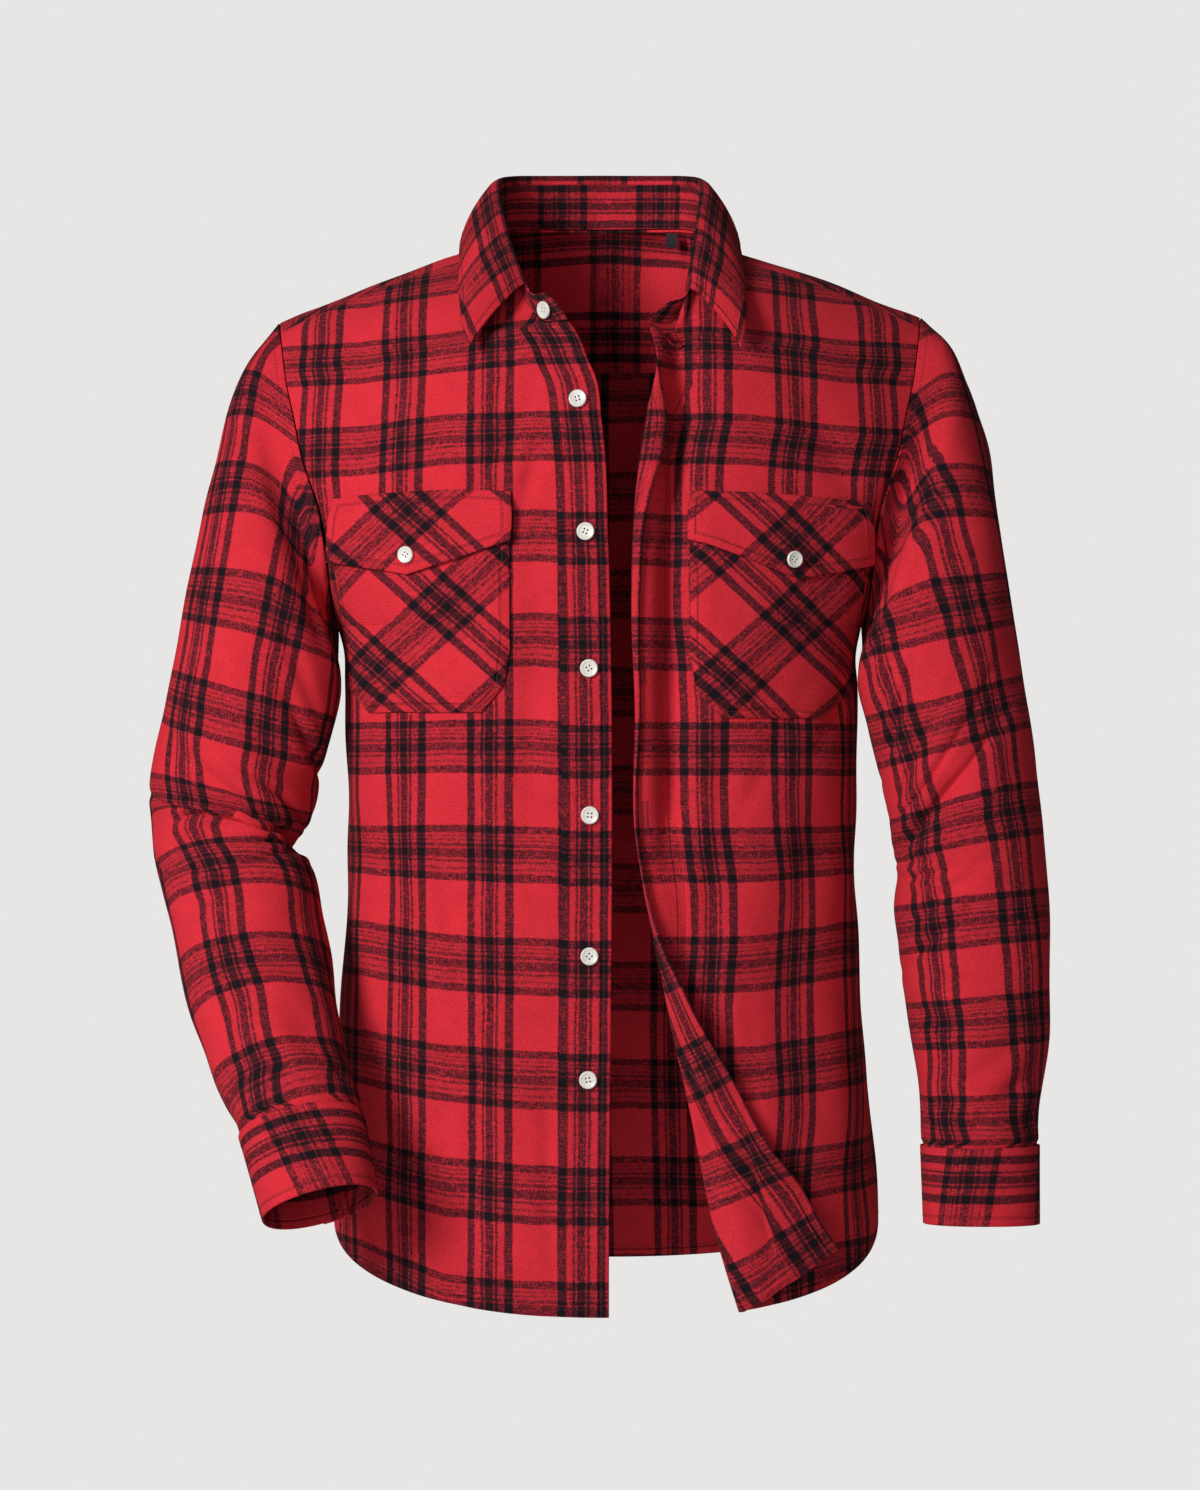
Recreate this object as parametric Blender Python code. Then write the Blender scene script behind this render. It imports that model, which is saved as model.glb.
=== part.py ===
"""Flannel shirt, worn open: every cut-and-sewn piece is a closed cloth wall of its own.

Metres, +Z up. The origin is between the shoulders at the base of the neck. The wearer faces -Y, so the
wearer's right side is at -X. Each piece is a net of points on the middle of its cloth, which cloth_wall
thickens to both sides.
"""
import math

import bmesh
import bpy
import numpy as np

# ---- driving sizes -------------------------------------------------------------------------------
CLOTH = 0.0015             # wall of one piece of flannel, with its turnings
SEAM_GAP = 0.0003          # between pieces that a seam joins
LAYER = CLOTH + SEAM_GAP   # from the middle of one layer to the middle of the next
CREASE_ANGLE = 50.0        # edges sharper than this show as edges
BUTTON_RADIUS = 0.00635
BUTTON_THICK = 0.0028
BUTTON_PROFILE = ((0, 0), (0.86, 0), (1, 0.35), (1, 0.70), (0.88, 1), (0.66, 0.78), (0, 0.72))
FLAP_BUTTON_RADIUS = 0.0060
CUFF_BUTTON_RADIUS = 0.0055
PLACKET_WIDTH = 0.035
PLACKET_THICK = 0.0022     # the button placket is three layers
NECK_ROW = 1.75            # row of a front that ends at the neckline's front end
SEAM_TOP_ROW = 1.820       # row whose end on the neckline meets the placket's seam
POCKET_PUFF = 0.0018       # how far pockets stand off their front, past the seam gap
FOLD_RADIUS = 0.0024       # of the turned-back front edge, to the middle of the cloth
FLAP_SPRING = 0.075        # how far the turned-back edge stands off, for each metre of its width
FLAP_DOWN = (158, 178)     # the turned-back edge comes down on its panel between these turns
LEFT_SHOULDER_LIFT = 0.004
STAND_SHARE = 0.84         # how far up from the neckline to the fold the collar stand reaches
STAND_LIFT = 0.0029        # from the neckline up to the stand's lower edge
STAND_END = ((0, 0.0), (0.4, 0.0015), (0.75, 0.0010), (1, -0.0020))   # its rounded end: height, bulge
COLLAR_ROLL = 0.0042       # how far the collar leaf stands out from the stand at its fold
LEAF_BELLY = 0.0035        # how far the leaf bows out between its fold and its edge
CUFF_OVERLAP = 26.0        # degrees of cuff that lie over its other end
CUFF_PROUD = 0.0012        # the cuff is this much wider than the sleeve that it holds
CUFF_START = 250.0         # where round the wrist the cuff's hidden end lies
CUFF_LAP = LAYER + 0.0006  # how far the cuff's outer end stands off its hidden one
ARMHOLE_EASE = (0.0007, 0.0021)   # how far out of the armhole the sleeve's head sits, top and armpit

RIGHT, LEFT = -1, 1        # sign of X


def table(columns, *rows):
    """Named columns of numbers from rows."""
    return {name: np.array([row[k] for row in rows], float) for k, name in enumerate(columns.split())}


def smooth(at, knots, values):
    """Smooth curve through the values at rising knots, flat past its ends."""
    at = np.clip(np.asarray(at, float), knots[0], knots[-1])
    step = np.diff(knots)
    slope = np.diff(values) / step
    tangent = np.empty(len(knots))
    tangent[0], tangent[-1] = slope[0], slope[-1]
    tangent[1:-1] = (slope[:-1] * step[1:] + slope[1:] * step[:-1]) / (step[:-1] + step[1:])
    k = np.clip(np.searchsorted(knots, at, side="right") - 1, 0, len(step) - 1)
    t = (at - knots[k]) / step[k]
    h = step[k]
    return (values[k] * (1 + 2 * t) * (1 - t) ** 2 + values[k + 1] * t * t * (3 - 2 * t)
            + h * tangent[k] * t * (1 - t) ** 2 + h * tangent[k + 1] * t * t * (t - 1))


def read(rows, key, at, *columns):
    """The named columns of a table, read at key values and set side by side."""
    return np.stack([smooth(at, rows[key], rows[name]) for name in columns], axis=-1)


# ---- body sizes ----------------------------------------------------------------------------------
# half widths of the body at heights from the side seam's foot to the armpit
TORSO = table("z right left front back",
              (-0.772, 0.1950, 0.2035, 0.1285, 0.118),
              (-0.710, 0.1950, 0.2040, 0.1270, 0.116),
              (-0.680, 0.1950, 0.2030, 0.1260, 0.114),
              (-0.640, 0.1940, 0.1985, 0.1250, 0.112),
              (-0.600, 0.1920, 0.1945, 0.1240, 0.110),
              (-0.560, 0.1895, 0.1910, 0.1230, 0.108),
              (-0.520, 0.1870, 0.1885, 0.1220, 0.106),
              (-0.480, 0.1845, 0.1870, 0.1210, 0.105),
              (-0.440, 0.1843, 0.1868, 0.1210, 0.105),
              (-0.400, 0.1845, 0.1875, 0.1220, 0.107),
              (-0.360, 0.1858, 0.1885, 0.1235, 0.110),
              (-0.326, 0.1865, 0.1885, 0.1250, 0.113),
              (-0.300, 0.1885, 0.1890, 0.1262, 0.115),
              (-0.285, 0.1918, 0.1918, 0.1268, 0.116),
              (-0.226, 0.1965, 0.1965, 0.1270, 0.118),
              (-0.160, 0.2130, 0.2130, 0.1235, 0.118),
              (-0.120, 0.2200, 0.2200, 0.1185, 0.115),
              (-0.083, 0.2300, 0.2300, 0.1110, 0.110),
              (-0.066, 0.2330, 0.2330, 0.1050, 0.106))

# the armhole, round from the shoulder tip (0) down the front to the armpit (180) and up the back
ARMHOLE = table("turn x y z",
                (0, 0.2363, 0.004, -0.0600),
                (18, 0.2335, -0.022, -0.0700),
                (35, 0.2305, -0.037, -0.0860),
                (52, 0.2262, -0.052, -0.1100),
                (70, 0.2195, -0.064, -0.1370),
                (88, 0.2130, -0.071, -0.1650),
                (104, 0.2065, -0.0745, -0.1840),
                (118, 0.2005, -0.075, -0.2015),
                (133, 0.1965, -0.069, -0.2260),
                (149, 0.1945, -0.053, -0.2535),
                (165, 0.1930, -0.028, -0.2760),
                (180, 0.1918, 0.000, -0.2850),
                (195, 0.1930, 0.026, -0.2760),
                (212, 0.1960, 0.046, -0.2520),
                (229, 0.2000, 0.058, -0.2220),
                (247, 0.2055, 0.064, -0.1900),
                (266, 0.2130, 0.066, -0.1570),
                (286, 0.2210, 0.060, -0.1230),
                (306, 0.2275, 0.049, -0.0950),
                (325, 0.2335, 0.033, -0.0760),
                (343, 0.2360, 0.019, -0.0650),
                (360, 0.2363, 0.004, -0.0600))
FRONT_YOKE_TURN = 18.0
BACK_YOKE_TURN = 309.0

# the neckline with the collar above it, from the front end (0) to the middle of the back (1)
NECK = table("way x y z fold_x fold_y fold_z edge_x edge_y edge_z",
             (0.00, 0.0219, -0.1060, -0.0722, 0.0417, -0.1006, -0.0476, 0.0880, -0.1270, -0.1040),
             (0.10, 0.0410, -0.0900, -0.0700, 0.0530, -0.0800, -0.0428, 0.0920, -0.1190, -0.0920),
             (0.16, 0.0500, -0.0810, -0.0590, 0.0585, -0.0695, -0.0265, 0.0970, -0.1050, -0.0750),
             (0.25, 0.0580, -0.0700, -0.0440, 0.0650, -0.0520, -0.0070, 0.1003, -0.0770, -0.0500),
             (0.38, 0.0670, -0.0510, -0.0295, 0.0705, -0.0300, 0.0155, 0.1015, -0.0500, -0.0290),
             (0.50, 0.0737, -0.0235, -0.0110, 0.0738, -0.0060, 0.0335, 0.1025, -0.0210, -0.0085),
             (0.60, 0.0760, 0.0020, 0.0020, 0.0748, 0.0150, 0.0455, 0.1020, 0.0080, 0.0035),
             (0.70, 0.0735, 0.0260, 0.0100, 0.0725, 0.0350, 0.0530, 0.0970, 0.0400, 0.0095),
             (0.80, 0.0620, 0.0500, 0.0160, 0.0620, 0.0560, 0.0582, 0.0810, 0.0720, 0.0118),
             (0.90, 0.0400, 0.0680, 0.0188, 0.0400, 0.0725, 0.0612, 0.0540, 0.0945, 0.0126),
             (1.00, 0.0000, 0.0755, 0.0195, 0.0000, 0.0790, 0.0625, 0.0000, 0.1045, 0.0130))
FRONT_YOKE_WAY = 0.50      # where the front yoke seam meets the neckline
LEAF_START = 0.10          # the collar leaf begins this far along, behind the stand's rounded end

# how much further out and up the left front end of the neck is
LEFT_NECK = table("way x z fold_x fold_z edge_x edge_z",
                  (0.00, 0.0126, -0.0018, 0.0027, -0.0048, 0.0072, 0.0),
                  (0.10, 0.0100, -0.0020, 0.0103, -0.0029, 0.0072, 0.0),
                  (0.16, 0.0075, -0.0015, 0.0065, -0.0020, 0.0055, 0.0),
                  (0.25, 0.0045, -0.0010, 0.0030, -0.0010, 0.0035, 0.0),
                  (0.38, 0.0015, 0.0000, 0.0005, 0.0000, 0.0020, 0.0),
                  (0.50, 0.0000, 0.0000, 0.0000, 0.0000, 0.0000, 0.0))

# front edges, by height: the right front's own edge, and where the left front's cloth is folded back
RIGHT_EDGE = table("z x",
                   (-0.772, 0.0063), (-0.220, 0.0056), (-0.165, 0.0035), (-0.1445, 0.0014),
                   (-0.1124, -0.0031), (-0.0983, -0.0092), (-0.0842, -0.0143), (-0.0722, -0.0219))
LEFT_REACH = table("z x",
                   (-0.772, 0.0220), (-0.180, 0.0220), (-0.1500, 0.0260), (-0.1283, 0.0330),
                   (-0.1068, 0.0390), (-0.0995, 0.0400), (-0.0923, 0.0396), (-0.0850, 0.0378),
                   (-0.0740, 0.0345))
LEFT_FOLD = table("z x width strip turn",
                  (-0.7800, 0.1035, 0.0830, 0.0350, 180), (-0.7650, 0.0987, 0.0790, 0.0350, 180),
                  (-0.7120, 0.0833, 0.0665, 0.0350, 176), (-0.6340, 0.0665, 0.0420, 0.0350, 160),
                  (-0.5560, 0.0497, 0.0270, 0.0350, 124), (-0.5100, 0.0408, 0.0185, 0.0350, 112),
                  (-0.4790, 0.0343, 0.0120, 0.0350, 112), (-0.4390, 0.0280, 0.0065, 0.0350, 118),
                  (-0.3440, 0.0273, 0.0055, 0.0350, 125), (-0.2700, 0.0250, 0.0075, 0.0350, 150),
                  (-0.2190, 0.0262, 0.0110, 0.0350, 172), (-0.1657, 0.0310, 0.0145, 0.0350, 176),
                  (-0.1350, 0.0360, 0.0125, 0.0345, 172), (-0.1180, 0.0392, 0.0080, 0.0335, 162),
                  (-0.1068, 0.0410, 0.0045, 0.0325, 148), (-0.0995, 0.0416, 0.0020, 0.0320, 125),
                  (-0.0923, 0.0403, 0.0006, 0.0320, 100), (-0.0850, 0.0380, 0.0000, 0.0330, 90),
                  (-0.0740, 0.0345, 0.0000, 0.0345, 90))

# rows of the fronts and the back: 0 is the hem, 1 the armpit, 2 the yoke seam
ROWS = table("row turn_front front_z neck_way turn_back back_z across deep rise",
             (0.00, 180, -0.772, 0.00, 180, -0.768, 2.4, 2.40, 0.000),
             (1.00, 180, -0.285, 0.00, 180, -0.285, 2.4, 2.40, 0.000),
             (1.12, 157, -0.258, 0.00, 203, -0.258, 2.3, 1.95, 0.000),
             (1.25, 133, -0.226, 0.00, 226, -0.224, 2.2, 1.55, 0.000),
             (1.50, 91, -0.160, 0.00, 259, -0.166, 2.0, 1.15, 0.000),
             (1.75, 56, -0.0722, 0.00, 286, -0.122, 1.6, 1.00, 0.003),
             (2.00, 18, -0.011, 0.50, 309, -0.083, 1.3, 1.00, 0.005))
SIDE_FOOT = -0.710         # the side seam's lower end
ARMPIT = -0.285

# the largest folds: soft troughs (+) and ridges (-) of the fronts, at x and z, leaning by lean
FRONT_FOLDS = table("side x z wide tall lean depth",
                    (RIGHT, -0.047, -0.330, 0.012, 0.140, 0.02, 0.0035),
                    (RIGHT, -0.150, -0.465, 0.016, 0.065, -0.20, 0.0030),
                    (RIGHT, -0.165, -0.170, 0.014, 0.050, 0.45, 0.0030),
                    (RIGHT, -0.100, -0.600, 0.020, 0.120, 0.05, 0.0025),
                    (RIGHT, -0.060, -0.640, 0.016, 0.110, -0.05, -0.0020),
                    (LEFT, 0.058, -0.300, 0.010, 0.170, 0.00, 0.0045),
                    (LEFT, 0.150, -0.475, 0.018, 0.065, 0.18, 0.0035),
                    (LEFT, 0.165, -0.165, 0.014, 0.055, -0.45, 0.0030),
                    (LEFT, 0.140, -0.580, 0.020, 0.110, -0.10, 0.0030),
                    (LEFT, 0.170, -0.620, 0.012, 0.090, -0.05, -0.0020))
BACK_FOLDS = table("side x z wide tall lean depth",
                   (0, -0.120, -0.420, 0.018, 0.120, -0.15, 0.0040),
                   (0, 0.115, -0.440, 0.018, 0.110, 0.18, 0.0035),
                   (0, -0.045, -0.560, 0.022, 0.120, 0.03, 0.0030),
                   (0, 0.040, -0.330, 0.020, 0.130, -0.04, 0.0030),
                   (0, 0.150, -0.240, 0.016, 0.070, -0.35, 0.0035),
                   (0, -0.150, -0.235, 0.016, 0.070, 0.35, 0.0035))

# ---- sleeve sizes --------------------------------------------------------------------------------
# rings below the armhole: outer point, inner point (x, z), depth position and half depth
RIGHT_SLEEVE = table("ring out_x out_z in_x in_z y deep",
                     (1, 0.2572, -0.0813, 0.1948, -0.2934, 0.002, 0.0640),
                     (2, 0.2706, -0.1202, 0.1925, -0.3100, -0.010, 0.0640),
                     (3, 0.2800, -0.1619, 0.1903, -0.3264, -0.024, 0.0630),
                     (4, 0.2890, -0.2006, 0.1898, -0.3404, -0.034, 0.0620),
                     (5, 0.2970, -0.2461, 0.1932, -0.3579, -0.040, 0.0600),
                     (6, 0.3055, -0.2897, 0.1988, -0.3761, -0.042, 0.0585),
                     (7, 0.3142, -0.3347, 0.2053, -0.3935, -0.042, 0.0570),
                     (8, 0.3216, -0.3732, 0.2076, -0.4109, -0.041, 0.0565),
                     (9, 0.3260, -0.4044, 0.2119, -0.4319, -0.042, 0.0560),
                     (10, 0.3251, -0.4232, 0.2168, -0.4449, -0.044, 0.0555),
                     (11, 0.3203, -0.4520, 0.2104, -0.4527, -0.050, 0.0540),
                     (12, 0.3142, -0.4755, 0.2047, -0.4683, -0.058, 0.0530),
                     (13, 0.3061, -0.5036, 0.2007, -0.4907, -0.070, 0.0525),
                     (14, 0.2969, -0.5383, 0.1930, -0.5205, -0.086, 0.0510),
                     (15, 0.2878, -0.5655, 0.1888, -0.5534, -0.102, 0.0490),
                     (16, 0.2743, -0.5962, 0.1817, -0.5780, -0.120, 0.0470),
                     (17, 0.2611, -0.6217, 0.1720, -0.6043, -0.137, 0.0440),
                     (18, 0.2479, -0.6441, 0.1653, -0.6249, -0.152, 0.0400),
                     (19, 0.2284, -0.6985, 0.1545, -0.6766, -0.178, 0.0350))
LEFT_SLEEVE = table("ring out_x out_z in_x in_z y deep",
                    (1, 0.2552, -0.0729, 0.1953, -0.2933, 0.004, 0.0640),
                    (2, 0.2692, -0.1026, 0.1930, -0.3100, -0.010, 0.0640),
                    (3, 0.2770, -0.1349, 0.1918, -0.3264, -0.025, 0.0630),
                    (4, 0.2830, -0.1710, 0.1912, -0.3404, -0.036, 0.0620),
                    (5, 0.2888, -0.2041, 0.1945, -0.3579, -0.042, 0.0610),
                    (6, 0.2949, -0.2442, 0.1993, -0.3797, -0.045, 0.0600),
                    (7, 0.2999, -0.2841, 0.2043, -0.4000, -0.046, 0.0590),
                    (8, 0.3055, -0.3239, 0.2092, -0.4195, -0.047, 0.0580),
                    (9, 0.3105, -0.3601, 0.2109, -0.4340, -0.048, 0.0575),
                    (10, 0.3153, -0.3978, 0.2104, -0.4599, -0.050, 0.0565),
                    (11, 0.3193, -0.4360, 0.2117, -0.4866, -0.052, 0.0555),
                    (12, 0.3220, -0.4721, 0.2151, -0.5118, -0.054, 0.0545),
                    (13, 0.3235, -0.5080, 0.2185, -0.5369, -0.056, 0.0535),
                    (14, 0.3239, -0.5440, 0.2227, -0.5620, -0.058, 0.0520),
                    (15, 0.3226, -0.5762, 0.2261, -0.5906, -0.060, 0.0500),
                    (16, 0.3188, -0.6121, 0.2303, -0.6193, -0.061, 0.0470),
                    (17, 0.3155, -0.6365, 0.2320, -0.6393, -0.062, 0.0440),
                    (18, 0.3142, -0.6573, 0.2324, -0.6580, -0.062, 0.0400),
                    (19, 0.3138, -0.7150, 0.2341, -0.7150, -0.066, 0.0350))
SLEEVE_END, CUFF_END = 18.0, 19.0
SLEEVE_ROUND = 2.15        # superellipse power of a sleeve's section
CAP_ROUND = 2.9            # and where it meets the armhole

# sleeve folds: ring and turn (0 out, 90 front, 180 in, 270 back) of the middle, reach, slant, depth
SLEEVE_FOLDS = table("side ring turn long round slant depth",
                     (RIGHT, 9.2, 120, 0.50, 60, 0.010, 0.0075),
                     (RIGHT, 10.6, 165, 0.45, 50, -0.006, 0.0080),
                     (RIGHT, 8.0, 60, 0.50, 45, 0.012, 0.0050),
                     (RIGHT, 10.9, 75, 0.45, 45, -0.014, 0.0050),
                     (RIGHT, 12.6, 110, 0.55, 40, -0.010, 0.0035),
                     (RIGHT, 6.6, 100, 0.50, 40, 0.012, 0.0035),
                     (RIGHT, 9.8, 230, 0.50, 40, 0.008, 0.0050),
                     (RIGHT, 3.0, 110, 0.80, 26, 0.030, 0.0045),
                     (RIGHT, 3.6, 250, 0.80, 26, -0.030, 0.0040),
                     (RIGHT, 16.6, 60, 0.80, 18, 0.000, 0.0035),
                     (RIGHT, 16.4, 120, 0.80, 18, 0.000, 0.0035),
                     (RIGHT, 16.5, 290, 0.80, 20, 0.000, 0.0035),
                     (LEFT, 9.4, 130, 0.50, 50, 0.010, 0.0055),
                     (LEFT, 10.8, 150, 0.50, 50, -0.010, 0.0050),
                     (LEFT, 8.2, 80, 0.60, 40, 0.012, 0.0035),
                     (LEFT, 12.6, 110, 0.60, 45, -0.010, 0.0035),
                     (LEFT, 10.0, 240, 0.50, 40, 0.008, 0.0045),
                     (LEFT, 3.0, 110, 0.80, 26, 0.030, 0.0045),
                     (LEFT, 3.6, 250, 0.80, 26, -0.030, 0.0040),
                     (LEFT, 16.6, 70, 0.80, 18, 0.000, 0.0035),
                     (LEFT, 16.4, 125, 0.80, 18, 0.000, 0.0035),
                     (LEFT, 16.5, 300, 0.80, 20, 0.000, 0.0035))

# ---- pockets -------------------------------------------------------------------------------------
POCKET = {RIGHT: table("z outer inner",
                       (-0.3485, 0.1645, 0.0828), (-0.3295, 0.1800, 0.0672), (-0.3050, 0.1825, 0.0631),
                       (-0.2500, 0.1880, 0.0631), (-0.2020, 0.1920, 0.0631)),
          LEFT: table("z outer inner",
                      (-0.3525, 0.1560, 0.0849), (-0.3335, 0.1795, 0.0680), (-0.3050, 0.1830, 0.0640),
                      (-0.2500, 0.1885, 0.0640), (-0.2020, 0.1925, 0.0640))}
POCKET_FLAP = {RIGHT: table("x top foot",
                            (0.0625, -0.1940, -0.2284), (0.0968, -0.1920, -0.2395),
                            (0.1332, -0.1930, -0.2510), (0.1640, -0.1942, -0.2450),
                            (0.1900, -0.1960, -0.2392)),
               LEFT: table("x top foot",
                           (0.0645, -0.1935, -0.2277), (0.1000, -0.1940, -0.2400),
                           (0.1367, -0.1955, -0.2538), (0.1660, -0.1975, -0.2480),
                           (0.1905, -0.1985, -0.2415))}

# ---- buttons: height on the front edge ------------------------------------------------------------
BUTTON_HEIGHTS = (-0.1288, -0.2221, -0.3177, -0.4207, -0.5197, -0.6060)
BUTTON_INSET = 0.0155      # from the front edge
FLAP_BUTTON_X = 0.1332
FLAP_BUTTON_ABOVE_TIP = 0.0135

LABEL_WAY = 0.83
LABEL_SIZE = (0.0105, 0.0095)
LABEL_THICK = 0.0006

COLOURS = {"flannel": (0.52, 0.012, 0.030, 1.0),
           "button": (0.86, 0.84, 0.79, 1.0),
           "label": (0.02, 0.022, 0.028, 1.0)}
FINISH = {"flannel": (0.92, 0.0), "button": (0.28, 0.0), "label": (0.7, 0.0)}   # roughness, metallic

# ---- how finely each piece is made ----------------------------------------------------------------
FRONT_COLUMNS = 13
FRONT_ROWS = 24
ROLL_COLUMNS = 3.5         # of them round the roll of a turned-back edge
BACK_COLUMNS = 22
BACK_ROWS = 21
SLEEVE_SEGMENTS = 20
SLEEVE_RINGS = 27
CUFF_COLUMNS = 25
BUTTON_STEPS = 12
DENSE_ROWS = 141           # of the surface that everything on a front is read from
DENSE_COLUMNS = 121


# ---- surfaces --------------------------------------------------------------------------------------
def unit(vectors):
    """Vectors at length one."""
    return vectors / np.maximum(np.linalg.norm(vectors, axis=-1, keepdims=True), 1e-12)


def normals_of(points, closed=False):
    """Normal at each point of a net, from its neighbours along and across."""
    if closed:
        across = np.roll(points, -1, axis=1) - np.roll(points, 1, axis=1)
    else:
        across = np.gradient(points, axis=1)
    return unit(np.cross(across, np.gradient(points, axis=0)))


def armhole(side, turn):
    """Points of one armhole."""
    points = read(ARMHOLE, "turn", np.mod(turn, 360.0), "x", "y", "z")
    if side == LEFT:
        points[..., 2] += LEFT_SHOULDER_LIFT * np.clip((points[..., 2] - ARMPIT) / (-0.06 - ARMPIT), 0, 1)
    return points * (side, 1, 1)


def neck_line(side, way, line=""):
    """Points of the neckline, the collar's fold ("fold_") or its free edge ("edge_")."""
    way = np.asarray(way, float)
    points = read(NECK, "way", way, line + "x", line + "y", line + "z")
    if side == LEFT:
        further = read(LEFT_NECK, "way", way, line + "x", line + "z")
        points = points + np.stack([further[..., 0], 0 * way, further[..., 1]], axis=-1)
    return points * (side, 1, 1)


def row_curve(outer, inner, across, deep, rise, z_power):
    """One row of a panel, evenly spaced: bulged like a superellipse between its outer and inner ends."""
    sweep = np.linspace(0, math.pi / 2, 4 * DENSE_COLUMNS)
    s = 1 - np.cos(sweep) ** (2 / across)
    s[-1] = 1.0
    f = np.sin(sweep) ** (2 / deep)
    points = np.empty((len(s), 3))
    points[:, 0] = outer[0] + (inner[0] - outer[0]) * s
    points[:, 1] = outer[1] + (inner[1] - outer[1]) * f
    reach = np.concatenate([[0], np.cumsum(np.linalg.norm(np.diff(points[:, :2], axis=0), axis=1))])
    part = reach / reach[-1]
    points[:, 2] = outer[2] + (inner[2] - outer[2]) * (1 - (1 - part) ** z_power)
    points[:, 2] += rise * 4 * s * (1 - s)
    return points


def even(points, count):
    """A line of points spaced evenly along its length."""
    reach = np.concatenate([[0], np.cumsum(np.linalg.norm(np.diff(points, axis=0), axis=1))])
    at = np.linspace(0, reach[-1], count)
    return np.stack([np.interp(at, reach, points[:, k]) for k in range(3)], axis=-1), reach[-1]


def pressed(points, normals, folds, side):
    """Points moved in by the table's soft troughs and out by its ridges."""
    depth = np.zeros(points.shape[:-1])
    for k in range(len(folds["x"])):
        if folds["side"][k] not in (side, 0):
            continue
        dz = points[..., 2] - folds["z"][k]
        dx = points[..., 0] - folds["x"][k] - folds["lean"][k] * dz
        depth += folds["depth"][k] * np.exp(-(dx / folds["wide"][k]) ** 2 - (dz / folds["tall"][k]) ** 2)
    return points - normals * depth[..., None]


def height_power(row):
    """How the hem's curve fades to level rows above it."""
    return 1 + 1.4 * np.clip(1 - row / 0.5, 0, 1)


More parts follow.
